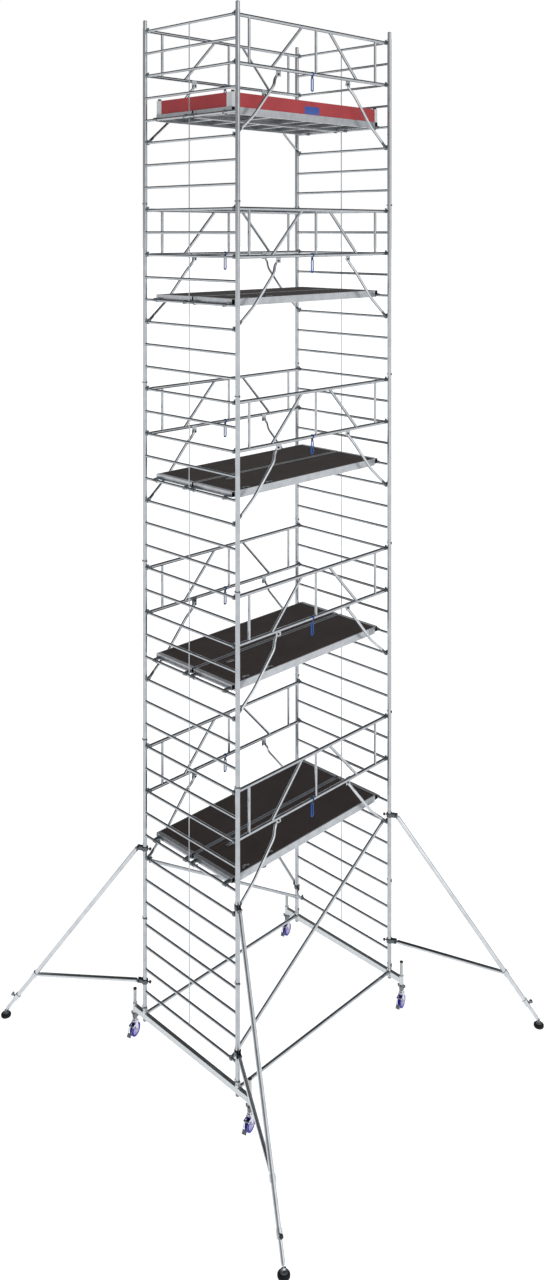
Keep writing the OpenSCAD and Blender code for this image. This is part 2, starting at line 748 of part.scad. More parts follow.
module outrigger(i) {
    main_end = outrigger_len - leg_out;
    arm_eye = [arm_rho, 0, lower_clamp_z];
    arm_dir = (arm_join - arm_eye) / norm(arm_join - arm_eye);
    arm_end = arm_join - arm_dir * 76;
    ring_d = outrigger_d + 2 * seat + 16;
    color("#b9bdc0") at_corner(i) {
        translate([0, 0, upper_clamp_z]) post_clamp(hinge_rho, top_hinge.z - upper_clamp_z);
        translate([0, 0, lower_clamp_z]) post_clamp(arm_rho, 0);
        tube_eye(top_hinge, leg_slope, outrigger_d - 2 * main_wall - 2 * seat);
        tube_eye(arm_eye, arm_dir, arm_d - 2 * tube_wall - 2 * seat);
        pipe_between(main_point(eye_reach), main_point(main_end), outrigger_d, main_wall);
        pipe_between(arm_eye + arm_dir * eye_reach, arm_end, arm_d);
        // Ring on the main tube with a stub that fills the arm's end
        difference() {
            union() {
                rod_between(arm_join - leg_slope * 28, arm_join + leg_slope * 28, ring_d);
                rod_between(arm_join, arm_end - arm_dir * 40, arm_d - 2 * tube_wall - 2 * seat);
            }
            rod_between(arm_join - leg_slope * 120, arm_join + leg_slope * 120, outrigger_d + 2 * seat);
        }
        // Guide collar at the mouth of the main tube, with its locking knob
        difference() {
            rod_between(main_point(main_end - collar_len / 2), main_point(main_end + collar_len / 2), collar_d);
            rod_between(main_point(main_end - collar_len), main_point(main_end + seat), outrigger_d + 2 * seat);
            rod_between(main_point(main_end), main_point(main_end + collar_len), leg_d + 2 * seat);
        }
        translate(main_point(main_end + 16) + leg_normal * (collar_d / 2 + seat))
            along([0, 0, 0], leg_normal) {
                cylinder(d = 14, h = 12);
                translate([0, 0, 12]) star_knob(46, 22);
            }
    }
}

module outrigger_leg(i) {
    leg_end = outrigger_len - 34;
    color("#b9bdc0") at_corner(i) {
        pipe_between(main_point(outrigger_len - leg_out - leg_in), main_point(leg_end), leg_d, 2);
        difference() {
            union() {
                translate(foot_pivot) y_rod(30, 20);
                rod_between(foot_pivot, main_point(leg_end + seat), 17);
                rod_between(main_point(leg_end + 12), main_point(leg_end - 50), leg_d - 4 - 2 * seat);
            }
            translate(foot_pivot) y_rod(bolt_d + 2 * seat, 60);
        }
    }
}

module outrigger_foot(i) {
    edge = 6;
    color("#1c1d1f") at_corner(i) translate([outrigger_reach, 0, 0]) {
        rotate_extrude() polygon([[0, 0], [pad_d / 2 - 3, 0], [pad_d / 2, 3], [pad_d / 2, pad_h * 0.45],
            [pad_d / 2 - edge, pad_h * 0.6], [36, pad_h], [0, pad_h]]);
        difference() {
            union() {
                translate([0, 0, pad_h + seat]) cylinder(d = 68, h = 5);
                for (s = [-1, 1]) translate([0, s * 14.6, 0]) {
                    translate([-14, -4, pad_h + 1]) cube([28, 8, pivot_z - pad_h - 1]);
                    translate([0, 0, pivot_z]) y_rod(28, 8);
                }
            }
            translate([0, 0, pivot_z]) y_rod(bolt_d + 2 * seat, 60);
        }
        translate([0, 0, pivot_z]) y_rod(bolt_d, 46);
    }
}

// ---------- height spindles and castors ----------

spindle_bore = 28.8;
spindle_top = castor_h + seat + nut_h + (sleeve_top - sleeve_foot) + spindle_travel + 5;
fork_y = wheel_w / 2 + 4;
fork_t = 4;
axle_d = 12;
pedal_at = [-66, 140];
pedal_pin_d = 8;
pedal_l = 98;

module at_castor(i) {
    c = CORNERS[i - 1];
    translate([c.x * px, c.y * castor_y, 0]) children();
}

// Places a child that swivels with a castor, its wheel's axis along Y before the castor's turn
module at_fork(i) {
    at_castor(i) rotate(castor_turn) children();
}

module spindle(i) {
    color("#a4a9ac") at_castor(i) {
        translate([0, 0, castor_h + seat]) pipe(spindle_d, (spindle_d - spindle_bore) / 2, spindle_top - castor_h);
        translate([0, 0, spindle_top + 2 * seat]) cylinder(d = spindle_d + 4, h = 8);
        translate([0, 0, spindle_top - 18]) cylinder(d = spindle_bore - 2 * seat, h = 24);
    }
}

module spindle_nut(i) {
    hub_d = spindle_d + 18;
    color("#c3c7ca") at_castor(i) translate([0, 0, castor_h + 2 * seat]) rotate(20) difference() {
        union() {
            cylinder(d = hub_d, h = nut_h);
            translate([-nut_span / 2 + 9, -9, 8]) cube([nut_span - 18, 18, nut_h - 16]);
            for (s = [-1, 1]) translate([s * (nut_span / 2 - 9), 0, 8]) cylinder(d = 18, h = nut_h - 16);
        }
        translate([0, 0, -1]) cylinder(d = spindle_d + 2 * seat, h = nut_h + 2);
    }
}

// One cheek of the fork, seen along Y: legs, axle boss and the ear that carries the pedal
module fork_cheek() {
    axle_z = wheel_d / 2;
    difference() {
        union() {
            polygon([[-34, 168], [34, 168], [20, axle_z], [-20, axle_z]]);
            translate([0, axle_z]) circle(r = 20);
            polygon([[-34, 168], [pedal_at.x, 151], [pedal_at.x, 129], [-24, 100]]);
            translate(pedal_at) circle(r = 11);
        }
        translate([0, axle_z]) circle(d = axle_d + 2 * seat);
        translate(pedal_at) circle(d = pedal_pin_d + 2 * seat);
    }
}

module caster_fork(i) {
    outer = fork_y + fork_t;
    color("#b4b8bb") at_fork(i) {
        for (s = [-1, 1]) translate([0, s * (fork_y + fork_t / 2), 0]) rotate([90, 0, 0])
            linear_extrude(fork_t, center = true) fork_cheek();
        translate([-34, -outer, 163]) cube([68, 2 * outer, 6]);
        translate([0, 0, 166]) cylinder(d = 66, h = castor_h - 174);
        translate([0, 0, 166]) cylinder(d = 46, h = castor_h - 166);
        translate([0, 0, 166]) cylinder(d = spindle_bore - 2 * seat, h = castor_h - 166 + 52);
        translate([0, 0, wheel_d / 2]) {
            y_rod(axle_d, 2 * outer + 4);
            for (s = [-1, 1]) translate([0, s * (outer + 4 + seat), 0]) rotate([90, 0, 0])
                cylinder(d = 22, h = 8, center = true, $fn = 6);
        }
    }
}

module wheel(i) {
    r = wheel_d / 2;
    h = wheel_w / 2;
    rim_r = r - 18;
    color("#2a1f8f") at_fork(i) translate([0, 0, r]) rotate([90, 0, 0]) {
        rotate_extrude() polygon([[rim_r + seat, -h + 4], [r - 7, -h], [r, -h + 7], [r, h - 7],
            [r - 7, h], [rim_r + seat, h - 4]]);
        rotate_extrude() polygon([[axle_d / 2 + seat, -h - 2], [19, -h - 2], [21, -h + 2], [24, -6],
            [rim_r - 8, -6], [rim_r - 6, -h + 4], [rim_r, -h + 4], [rim_r, h - 4], [rim_r - 6, h - 4],
            [rim_r - 8, 6], [24, 6], [21, h - 2], [19, h + 2], [axle_d / 2 + seat, h + 2]]);
    }
}

module brake_pedal(i) {
    w = 2 * fork_y - 4 * seat;
    color("#8c9296") at_fork(i) translate([pedal_at.x, 0, pedal_at.y]) {
        difference() {
            union() {
                y_rod(17, w);
                rotate([0, -pedal_slope, 0]) {
                    translate([-pedal_l, -w / 2, -3]) cube([pedal_l, w, 6]);
                    translate([-pedal_l - 4, 0, 0]) y_rod(12, w);
                }
            }
            y_rod(pedal_pin_d + 2 * seat, w + 10);
        }
        y_rod(pedal_pin_d, 2 * fork_y + 2 * fork_t + 6);
    }
}

caster_beams();
beam_lock_knobs();
ladder_frames(0);  // base_frames
ladder_frames(1);  // ladder_frames_1
ladder_frames(2);  // ladder_frames_2
ladder_frames(3);  // ladder_frames_3
ladder_frames(4);  // ladder_frames_4
ladder_frames(5);  // ladder_frames_5
joint_clips();
base_rails();
diagonal_braces();
hook_claws();
guardrails(1);  // guardrails_1
guardrails(2);  // guardrails_2
guardrails(3);  // guardrails_3
guardrails(4);  // guardrails_4
guardrails(5);  // guardrails_5
guardrail_struts();
rail_hooks();
deck_frames();
deck_panels();
toe_boards();
toe_board_ends();
for (i = LEVELS) hatch(i);
for (i = [1:4]) outrigger(i);
for (i = [1:4]) outrigger_leg(i);
for (i = [1:4]) outrigger_foot(i);
for (i = [1:4]) spindle(i);
for (i = [1:4]) spindle_nut(i);
for (i = [1:4]) caster_fork(i);
for (i = [1:4]) wheel(i);
for (i = [1:4]) brake_pedal(i);
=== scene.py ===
"""Looks of a mobile tower scaffold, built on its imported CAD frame.

Everything is in metres in the frame's own axes: +Z up, X along the bay, Y along the rungs,
and the origin on the floor in the middle of the tower's plan.
"""

import json
import logging
import math
from collections.abc import Callable, Iterator, Sequence
from contextlib import contextmanager
from dataclasses import dataclass, field
from enum import Enum

import bmesh
import bpy
from mathutils import Matrix, Vector


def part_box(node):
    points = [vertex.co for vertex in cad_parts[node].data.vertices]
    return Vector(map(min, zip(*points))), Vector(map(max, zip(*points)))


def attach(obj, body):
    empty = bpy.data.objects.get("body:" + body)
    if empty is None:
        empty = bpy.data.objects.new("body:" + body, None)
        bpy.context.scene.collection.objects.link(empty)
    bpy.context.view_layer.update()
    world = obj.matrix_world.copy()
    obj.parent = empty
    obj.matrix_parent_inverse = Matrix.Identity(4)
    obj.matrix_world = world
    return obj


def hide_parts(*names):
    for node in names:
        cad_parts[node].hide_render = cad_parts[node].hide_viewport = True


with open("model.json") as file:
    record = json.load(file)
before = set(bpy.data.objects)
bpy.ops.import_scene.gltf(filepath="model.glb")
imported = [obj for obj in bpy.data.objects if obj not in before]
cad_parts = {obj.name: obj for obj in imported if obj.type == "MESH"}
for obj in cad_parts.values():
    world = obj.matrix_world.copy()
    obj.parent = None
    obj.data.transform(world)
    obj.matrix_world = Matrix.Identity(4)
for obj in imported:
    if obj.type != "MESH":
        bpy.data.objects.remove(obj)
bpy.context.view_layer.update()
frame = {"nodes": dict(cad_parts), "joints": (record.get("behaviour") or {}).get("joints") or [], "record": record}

Piece = bpy.types.Object
Tree = bpy.types.NodeTree
Node = bpy.types.Node
Socket = bpy.types.NodeSocket

log = logging.getLogger("tower")
MM = 0.001
QUARTER = math.pi / 2
CORNERS = ((-1, -1), (-1, 1), (1, -1), (1, 1))
LEVELS = (1, 2, 3, 4, 5)
SIDES = (-1, 1)
SMOOTH_BELOW = math.radians(38)
BEVEL_ABOVE = math.radians(40)


# ---------- modelling by hand ----------


def choose(*pieces: Piece) -> None:
    """Selects just these pieces, and makes the first of them active."""
    bpy.ops.object.select_all(action="DESELECT")
    for piece in pieces:
        piece.select_set(True)
    bpy.context.view_layer.objects.active = pieces[0]


def linked(piece: Piece) -> Piece:
    """Puts a new object in the scene, and returns it."""
    bpy.context.scene.collection.objects.link(piece)
    return piece


def moved(piece: Piece, place: Matrix) -> Piece:
    """Moves a piece's mesh by a matrix, and returns the piece."""
    piece.data.transform(place)
    return piece


def fresh(operator: Callable, name: str, **settings: object) -> Piece:
    """Adds a primitive with nothing else selected.

    Args:
        operator: The bpy.ops call that adds it.
        name: The name of the new piece.
        settings: The size and place that the operator takes.

    Returns:
        The new object.
    """
    bpy.ops.object.select_all(action="DESELECT")
    operator(**settings)
    piece = bpy.context.object
    piece.name = name
    return piece


def settle(piece: Piece) -> Piece:
    """Applies a piece's place, turn and scale to its mesh, and returns the piece."""
    choose(piece)
    bpy.ops.object.transform_apply(location=True, rotation=True, scale=True)
    return piece


@contextmanager
def editing(piece: Piece, mode: str = "FACE") -> Iterator[None]:
    """Opens a piece in edit mode with nothing selected.

    Args:
        piece: The piece to edit.
        mode: What is selected in it: VERT, EDGE or FACE.
    """
    settle(piece)
    bpy.ops.object.mode_set(mode="EDIT")
    bpy.ops.mesh.select_mode(type=mode)
    bpy.ops.mesh.select_all(action="DESELECT")
    try:
        yield
    finally:
        bpy.ops.object.mode_set(mode="OBJECT")


def pick(piece: Piece, part: str, test: Callable[[object], bool]) -> None:
    """Selects just the parts of an open piece that pass a test.

    Args:
        piece: The piece in edit mode.
        part: Which of the mesh's lists is tested: verts, edges or faces.
        test: Says whether one of them is wanted.
    """
    bpy.ops.mesh.select_all(action="DESELECT")
    mesh = bmesh.from_edit_mesh(piece.data)
    for element in getattr(mesh, part):
        if test(element):
            element.select_set(True)
    mesh.select_flush_mode()
    bmesh.update_edit_mesh(piece.data)


def facing(axis: str, sign: int = 0) -> Callable[[object], bool]:
    """A test for faces that look along an axis, one way or, with a sign of 0, both ways."""
    index = "xyz".index(axis)
    if sign:
        return lambda face: face.normal[index] * sign > 0.9
    return lambda face: abs(face.normal[index]) > 0.9


def stepped(piece: Piece, test: Callable[[object], bool],
            steps: Sequence[tuple[float, float]]) -> None:
    """Insets faces of a piece several times over.

    Args:
        piece: The piece.
        test: Picks the faces to start from.
        steps: The margin and the rise of each inset in millimetres.
    """
    with editing(piece):
        pick(piece, "faces", test)
        for margin, rise in steps:
            bpy.ops.mesh.inset(thickness=margin * MM, depth=rise * MM)


def modify(piece: Piece, kind: str, **settings: object) -> None:
    """Adds a modifier of one kind with its settings, and applies it."""
    bpy.context.view_layer.objects.active = piece
    modifier = piece.modifiers.new(kind.title(), kind)
    for name, value in settings.items():
        setattr(modifier, name, value)
    bpy.ops.object.modifier_apply(modifier=modifier.name)


def soften(piece: Piece, width: float, segments: int = 2) -> Piece:
    """Rounds a piece's sharp edges by a width in metres, and returns the piece."""
    settle(piece)
    modify(piece, "BEVEL", width=width, segments=segments, limit_method="ANGLE",
           angle_limit=BEVEL_ABOVE)
    return piece


def close_up(piece: Piece) -> None:
    """Merges doubled points and turns every face outwards."""
    with editing(piece):
        bpy.ops.mesh.select_all(action="SELECT")
        bpy.ops.mesh.remove_doubles(threshold=0.01 * MM)
        bpy.ops.mesh.normals_make_consistent(inside=False)


def smooth(piece: Piece) -> None:
    """Shades a piece smooth where its faces meet at a low angle."""
    choose(piece)
    bpy.ops.object.shade_smooth_by_angle(angle=SMOOTH_BELOW)


def copied(piece: Piece, place: Matrix, name: str) -> Piece:
    """Copies a piece with its own mesh, moved by a matrix.

    Args:
        piece: The piece to copy.
        place: Where the copy goes, from where the piece is.
        name: The name of the copy.

    Returns:
        The copy.
    """
    twin = piece.copy()
    twin.data = piece.data.copy()
    twin.name = name
    twin.data.transform(place)
    if place.determinant() < 0:
        twin.data.flip_normals()
    return linked(twin)


def joined(pieces: Sequence[Piece], name: str) -> Piece:
    """Joins pieces into one object with a name, and returns it."""
    for piece in pieces:
        settle(piece)
    choose(*pieces)
    if len(pieces) > 1:
        bpy.ops.object.join()
    pieces[0].name = name
    return pieces[0]


def spread(piece: Piece, places: Sequence[Matrix], name: str) -> Piece:
    """Joins copies of a piece at many places into one object, and removes the pattern."""
    made = joined([copied(piece, place, f"{name}.copy") for place in places], name)
    bpy.data.objects.remove(piece)
    return made


def shown(piece: Piece, body: str, look: bpy.types.Material,
          replaces: Sequence[str] = ()) -> None:
    """Gives a finished piece its finish and its body, and hides the CAD nodes that it stands for.

    Args:
        piece: The finished piece.
        body: The CAD body that it moves with.
        look: Its material.
        replaces: The CAD nodes that it stands for.
    """
    settle(piece)
    smooth(piece)
    piece.data.materials.clear()
    piece.data.materials.append(look)
    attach(piece, body)
    if replaces:
        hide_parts(*replaces)
    log.info("%s: %d faces on %s", piece.name, len(piece.data.polygons), body)


def at(x: float, y: float, z: float = 0.0) -> Matrix:
    """A move to a point."""
    return Matrix.Translation((x, y, z))


def turned(angle: float, axis: str) -> Matrix:
    """A turn by an angle in degrees about an axis through the origin."""
    return Matrix.Rotation(math.radians(angle), 4, axis)


def mirrored(x: int, y: int) -> Matrix:
    """A mirror of X where x is -1, and of Y where y is -1."""
    return Matrix.Diagonal((x, y, 1, 1))


def aimed(start: Vector, end: Vector) -> Matrix:
    """A place at the start, turned so that +Z runs towards the end."""
    return Matrix.Translation(start) @ (end - start).to_track_quat("Z", "Y").to_matrix().to_4x4()


def block(name: str, low: Sequence[float], high: Sequence[float],
          round_off: float) -> Piece:
    """A block between two corners with rounded edges."""
    centre = [(a + b) / 2 for a, b in zip(low, high)]
    piece = fresh(bpy.ops.mesh.primitive_cube_add, name, size=1, location=centre,
                  scale=[b - a for a, b in zip(low, high)])
    return soften(piece, round_off)


def disc(name: str, radius: float, low: float, high: float, round_off: float,
         vertices: int = 28) -> Piece:
    """A round piece along Z between two heights, with rounded rims."""
    piece = fresh(bpy.ops.mesh.primitive_cylinder_add, name, vertices=vertices, radius=radius,
                  depth=high - low, location=(0, 0, (low + high) / 2))
    return soften(piece, round_off)


def swept(name: str, points: Sequence[Vector], radius: float, bend: float) -> Piece:
    """A round tube along straight runs that are joined by smooth bends.

    Args:
        name: The name of the piece.
        points: The corners of its centre line.
        radius: Its outer radius.
        bend: How far before and after a corner its bend reaches.

    Returns:
        The tube as a closed mesh.
    """
    steps = 6
    line = [points[0]]
    for before, corner, after in zip(points, points[1:], points[2:]):
        start = corner + (before - corner).normalized() * min(bend, (before - corner).length / 2)
        end = corner + (after - corner).normalized() * min(bend, (after - corner).length / 2)
        for i in range(steps + 1):
            t = i / steps
            line.append(start * (1 - t) ** 2 + corner * 2 * t * (1 - t) + end * t ** 2)
    line.append(points[-1])
    curve = bpy.data.curves.new(name, "CURVE")
    curve.dimensions = "3D"
    curve.bevel_depth = radius
    curve.bevel_resolution = 6
    curve.use_fill_caps = True
    run = curve.splines.new("POLY")
    run.points.add(len(line) - 1)
    for point, place in zip(run.points, line):
        point.co = (*place, 1)
    piece = linked(bpy.data.objects.new(name, curve))
    choose(piece)
    bpy.ops.object.convert(target="MESH")
    close_up(piece)
    return piece


def star_knob(name: str, across: float, height: float) -> Piece:
    """A six-lobed hand knob from z = 0 up, with a domed top.

    Args:
        name: The name of the piece.
        across: Its width over two lobes.
        height: Its height.

    Returns:
        The knob.
    """
    lobes = 6
    piece = fresh(bpy.ops.mesh.primitive_cylinder_add, name, vertices=2 * lobes,
                  radius=across / 2, depth=height, location=(0, 0, height / 2))
    step = math.pi / lobes
    with editing(piece, "EDGE"):
        pick(piece, "edges", lambda edge: abs((edge.verts[0].co - edge.verts[1].co).z) > height / 2
             and round(math.atan2(edge.verts[0].co.x, edge.verts[0].co.y) / step) % 2 == 1)
        bpy.ops.transform.resize(value=(0.7, 0.7, 1))
    with editing(piece):
        pick(piece, "faces", facing("z"))
        bpy.ops.mesh.inset(thickness=across * 0.05)
        pick(piece, "faces", lambda face: face.normal.z > 0.9 and len(face.verts) > 4)
        bpy.ops.mesh.inset(thickness=across * 0.12, depth=height * 0.1)
    modify(piece, "SUBSURF", levels=2, render_levels=2)
    return piece


# ---------- materials ----------


def linear(colour: str) -> tuple[float, float, float, float]:
    """Turns an sRGB hex value such as #B4B8BB into the linear colour that a shader takes."""
    parts = [int(colour[i:i + 2], 16) / 255 for i in (1, 3, 5)]
    red, green, blue = (c / 12.92 if c <= 0.04045 else ((c + 0.055) / 1.055) ** 2.4 for c in parts)
    return red, green, blue, 1.0


def add(tree: Tree, kind: str, inputs: dict | None = None, **settings: object) -> Node:
    """Adds a node with its settings and links.

    Args:
        tree: The tree that it goes in.
        kind: The node's type name.
        inputs: For each input, the socket that feeds it or the value that it holds.
        settings: The node's own settings.

    Returns:
        The new node.
    """
    node = tree.nodes.new(kind)
    for name, value in settings.items():
        setattr(node, name, value)
    for name, value in (inputs or {}).items():
        if isinstance(value, Socket):
            tree.links.new(value, node.inputs[name])
        else:
            node.inputs[name].default_value = value
    return node


def blend(tree: Tree, share: Socket, first: Socket | str, second: Socket | str) -> Socket:
    """Mixes two colours, each a socket or an sRGB hex value, by a share from 0 to 1."""
    first, second = (linear(tone) if isinstance(tone, str) else tone for tone in (first, second))
    return add(tree, "ShaderNodeMix", {0: share, 6: first, 7: second}, data_type="RGBA").outputs[2]


def sums(tree: Tree, operation: str, *values: object) -> Socket:
    """One sum on numbers, each a socket or a value."""
    return add(tree, "ShaderNodeMath", dict(enumerate(values)), operation=operation).outputs[0]


def vectors(tree: Tree, operation: str, *values: object) -> Socket:
    """One sum on vectors; a distance or a dot product comes out as a number."""
    node = add(tree, "ShaderNodeVectorMath", dict(enumerate(values)), operation=operation)
    return node.outputs["Value" if operation in ("DISTANCE", "DOT_PRODUCT") else "Vector"]


class Grain(Enum):
    """The way that draw lines or wood fibres run, as how much slower a pattern changes that way."""

    NONE = (1.0, 1.0, 1.0)
    ALONG_X = (0.03, 1.0, 1.0)


def per_mm(size: float) -> float:
    """The texture scale at which one feature of a pattern is a size in millimetres."""
    return 1000 / size


@dataclass(frozen=True)
class Finish:
    """What every finish has: a name, two tones and a fine grain."""

    name: str
    tone: str
    second_tone: str
    roughness: float
    grain_mm: float
    patch_mm: float = 90.0
    metallic: float = 0.0
    specular: float = 0.5
    bump_mm: float = 0.05
    grain: Grain = Grain.NONE

    def patterns(self, tree: Tree) -> tuple[Node, ...]:
        """Makes the three patterns that a finish draws on.

        Args:
            tree: The material's nodes.

        Returns:
            The place in the piece, the fine grain, and the broad patches.
        """
        place = add(tree, "ShaderNodeTexCoord")
        stretch = add(tree, "ShaderNodeMapping", {"Vector": place.outputs["Object"],
                                                   "Scale": self.grain.value})
        fine = add(tree, "ShaderNodeTexNoise", {"Vector": stretch.outputs[0],
                                                "Scale": per_mm(self.grain_mm), "Detail": 3.0})
        broad = add(tree, "ShaderNodeTexNoise", {"Vector": place.outputs["Object"],
                                                 "Scale": per_mm(self.patch_mm), "Detail": 4.0,
                                                 "Roughness": 0.6})
        return place, fine, broad

    def colour(self, tree: Tree, place: Node, broad: Node) -> Socket:
        """The colour over the surface: the two tones, in patches."""
        share = add(tree, "ShaderNodeMapRange", {"Value": broad.outputs["Fac"], "From Min": 0.35,
                                                 "From Max": 0.68})
        return blend(tree, share.outputs[0], self.tone, self.second_tone)

    def relief(self, tree: Tree, place: Node, fine: Node) -> Socket:
        """The small relief of the surface: its grain."""
        bump = add(tree, "ShaderNodeBump", {"Height": fine.outputs["Fac"], "Strength": 0.35,
                                            "Distance": self.bump_mm * MM})
        return bump.outputs[0]

    def build(self) -> bpy.types.Material:
        """Makes the material."""
        material = bpy.data.materials.new(self.name)
        material.use_nodes = True
        tree = material.node_tree
        tree.nodes.clear()
        place, fine, broad = self.patterns(tree)
        spread_of_gloss = add(tree, "ShaderNodeMapRange", {
            "Value": fine.outputs["Fac"], "From Min": 0.3, "From Max": 0.7,
            "To Min": self.roughness * 0.82, "To Max": min(1.0, self.roughness * 1.2)})
        shader = add(tree, "ShaderNodeBsdfPrincipled", {
            "Base Color": self.colour(tree, place, broad),
            "Roughness": spread_of_gloss.outputs[0],
            "Normal": self.relief(tree, place, fine),
            "Metallic": self.metallic})
        if not self.metallic:
            shader.inputs["Specular IOR Level"].default_value = self.specular
        add(tree, "ShaderNodeOutputMaterial", {"Surface": shader.outputs[0]})
        return material


@dataclass(frozen=True)
class DrawnAluminium(Finish):
    """Drawn or extruded aluminium tube, left as it came from the die.

    Satin, with a soft broad highlight along the tube and dull patches where hands and clamps rub.
    """

    metallic: float = 1.0
    bump_mm: float = 0.004


@dataclass(frozen=True)
class CastMetal(Finish):
    """Die-cast and shot-blasted fittings: dull, darker than the tubes, with a sandy skin."""

    metallic: float = 0.85
    bump_mm: float = 0.15


@dataclass(frozen=True)
class GalvanisedSteel(Finish):
    """Hot-dipped steel: each zinc crystal takes the light a little differently."""

    metallic: float = 1.0
    bump_mm: float = 0.01
    spangle_mm: float = 14.0

    def colour(self, tree: Tree, place: Node, broad: Node) -> Socket:
        """The colour over the surface: one tone to each crystal."""
        crystals = add(tree, "ShaderNodeTexVoronoi", {"Vector": place.outputs["Object"],
                                                      "Scale": per_mm(self.spangle_mm)})
        return blend(tree, crystals.outputs["Color"], self.tone, self.second_tone)


@dataclass(frozen=True)
class ClampedTube(DrawnAluminium):
    """An outrigger: drawn tube, with the dark castings of its clamps close round the post."""

    casting: str = "#5A5F63"
    post: tuple[float, float] = (1.239, 0.754)
    casting_reach: float = 0.098

    def colour(self, tree: Tree, place: Node, broad: Node) -> Socket:
        """The colour over the surface: the tube's tones, and the casting's near the post."""
        tube = super().colour(tree, place, broad)
        any_corner = vectors(tree, "ABSOLUTE", place.outputs["Object"])
        flat = vectors(tree, "MULTIPLY", any_corner, (1, 1, 0))
        away = vectors(tree, "DISTANCE", flat, (*self.post, 0))
        near = sums(tree, "LESS_THAN", away, self.casting_reach)
        return blend(tree, near, tube, self.casting)


@dataclass(frozen=True)
class FilmFacedPly(Finish):
    """Phenolic-faced birch plywood with a wire pattern pressed into its walking side.

    Dark brown and dull on top, smoother below, where the same film is painted a lighter grey-brown as painted
    light from the pale floor, with pale and dark veneers along its cut edges.
    """

    wire_mm: float = 9.0
    veneer_mm: float = 2.4
    veneer: str = "#8C7458"
    # The underside's tone: the brown film painted lighter and greyer, as painted light from the pale floor.
    under: str = "#6E6A68"
    edge_below: float = 0.5

    def colour(self, tree: Tree, place: Node, broad: Node) -> Socket:
        """The colour over the surface: film above, film painted lighter below as painted floor light, veneers at
        the edges.
        """
        film = super().colour(tree, place, broad)
        layers = add(tree, "ShaderNodeTexWave", {"Vector": place.outputs["Object"],
                                                 "Scale": per_mm(self.veneer_mm) / (2 * math.pi),
                                                 "Distortion": 0.6},
                     bands_direction="Z")
        wood = blend(tree, layers.outputs["Fac"], self.tone, self.veneer)
        normal = add(tree, "ShaderNodeNewGeometry").outputs["True Normal"]
        up = add(tree, "ShaderNodeSeparateXYZ", {0: normal}).outputs["Z"]
        edge = sums(tree, "LESS_THAN", sums(tree, "ABSOLUTE", up), self.edge_below)
        # Faces that look down get the lighter under tone: painted floor light on the film below.
        below = sums(tree, "LESS_THAN", up, -self.edge_below)
        return blend(tree, edge, blend(tree, below, film, self.under), wood)

    def relief(self, tree: Tree, place: Node, fine: Node) -> Socket:
        """The small relief of the surface: the pressed wire mesh over the grain."""
        mesh = add(tree, "ShaderNodeTexVoronoi", {"Vector": place.outputs["Object"],
                                                  "Scale": per_mm(self.wire_mm),
                                                  "Randomness": 0.15},
                   voronoi_dimensions="2D", feature="DISTANCE_TO_EDGE")
        pressed = add(tree, "ShaderNodeBump", {"Height": mesh.outputs["Distance"], "Strength": 0.5,
                                               "Distance": 0.3 * MM,
                                               "Normal": super().relief(tree, place, fine)})
        return pressed.outputs[0]


# The tubes: the mid grey of mill aluminium, whose upper sides a white studio turns almost white.
TUBE = DrawnAluminium("drawn_aluminium_tube", "#B2B6BA", "#A4A9AE", 0.17, 1.2)
RAIL = DrawnAluminium("drawn_aluminium_rail", "#B2B6BA", "#A3A8AD", 0.16, 1.2, grain=Grain.ALONG_X)
PROFILE = DrawnAluminium("extruded_aluminium_profile", "#B6BABE", "#A7ABB0", 0.30, 1.6,
                         grain=Grain.ALONG_X)
OUTRIGGER = ClampedTube("drawn_aluminium_outrigger", "#C6CACE", "#B6BABF", 0.14, 1.2)
BEAM = GalvanisedSteel("galvanised_beam", "#B4B9BC", "#C4C8CA", 0.24, 1.5)
SPINDLE = GalvanisedSteel("rolled_zinc_thread", "#AEB2B4", "#BCC0C1", 0.3, 0.8, spangle_mm=8.0)
CLIP = GalvanisedSteel("zinc_plated_pin", "#6B7175", "#83898D", 0.38, 0.8, spangle_mm=6.0)
FORK = GalvanisedSteel("pressed_zinc_fork", "#C4C4D0", "#D2D2DC", 0.3, 1.0, spangle_mm=9.0)
CLAW = CastMetal("shot_blasted_casting", "#7F8589", "#8D9397", 0.5, 1.1)
NUT = CastMetal("cast_spindle_nut", "#7C8082", "#6B6F71", 0.4, 1.1)
# The film on the decks and the red boards: hard resin over wood fibres that run along the board.
PLY = FilmFacedPly("film_faced_ply", "#453B39", "#4E4340", 0.62, 1.4, patch_mm=260, specular=0.35)
BOARD = Finish("red_film_board", "#A8363B", "#9A2F35", 0.5, 2.2, patch_mm=320, bump_mm=0.1,
               specular=0.4, grain=Grain.ALONG_X)
BOARD_END = Finish("white_powder_coat", "#D3D6D8", "#C6CACC", 0.5, 1.0, bump_mm=0.08)
# Moulded plastics: an even skin with the faint texture of the mould.
BLUE = Finish("moulded_blue_nylon", "#17509E", "#13478F", 0.42, 0.9, specular=0.3)
LABEL = Finish("printed_blue_film", "#2A4FA0", "#25468F", 0.35, 0.8)
BLACK = Finish("moulded_black_nylon", "#1B1C1E", "#242628", 0.45, 0.9)
TREAD = Finish("cast_blue_polyurethane", "#21189A", "#1B1386", 0.45, 1.3, specular=0.3)
DISC = Finish("moulded_lavender_nylon", "#C9C3E6", "#B9B2DC", 0.4, 0.9)
PEDAL = CastMetal("pressed_grey_pedal", "#8F9498", "#7D8387", 0.42, 1.0)
RUBBER = Finish("black_rubber", "#161719", "#202224", 0.72, 1.6, specular=0.3, bump_mm=0.12)

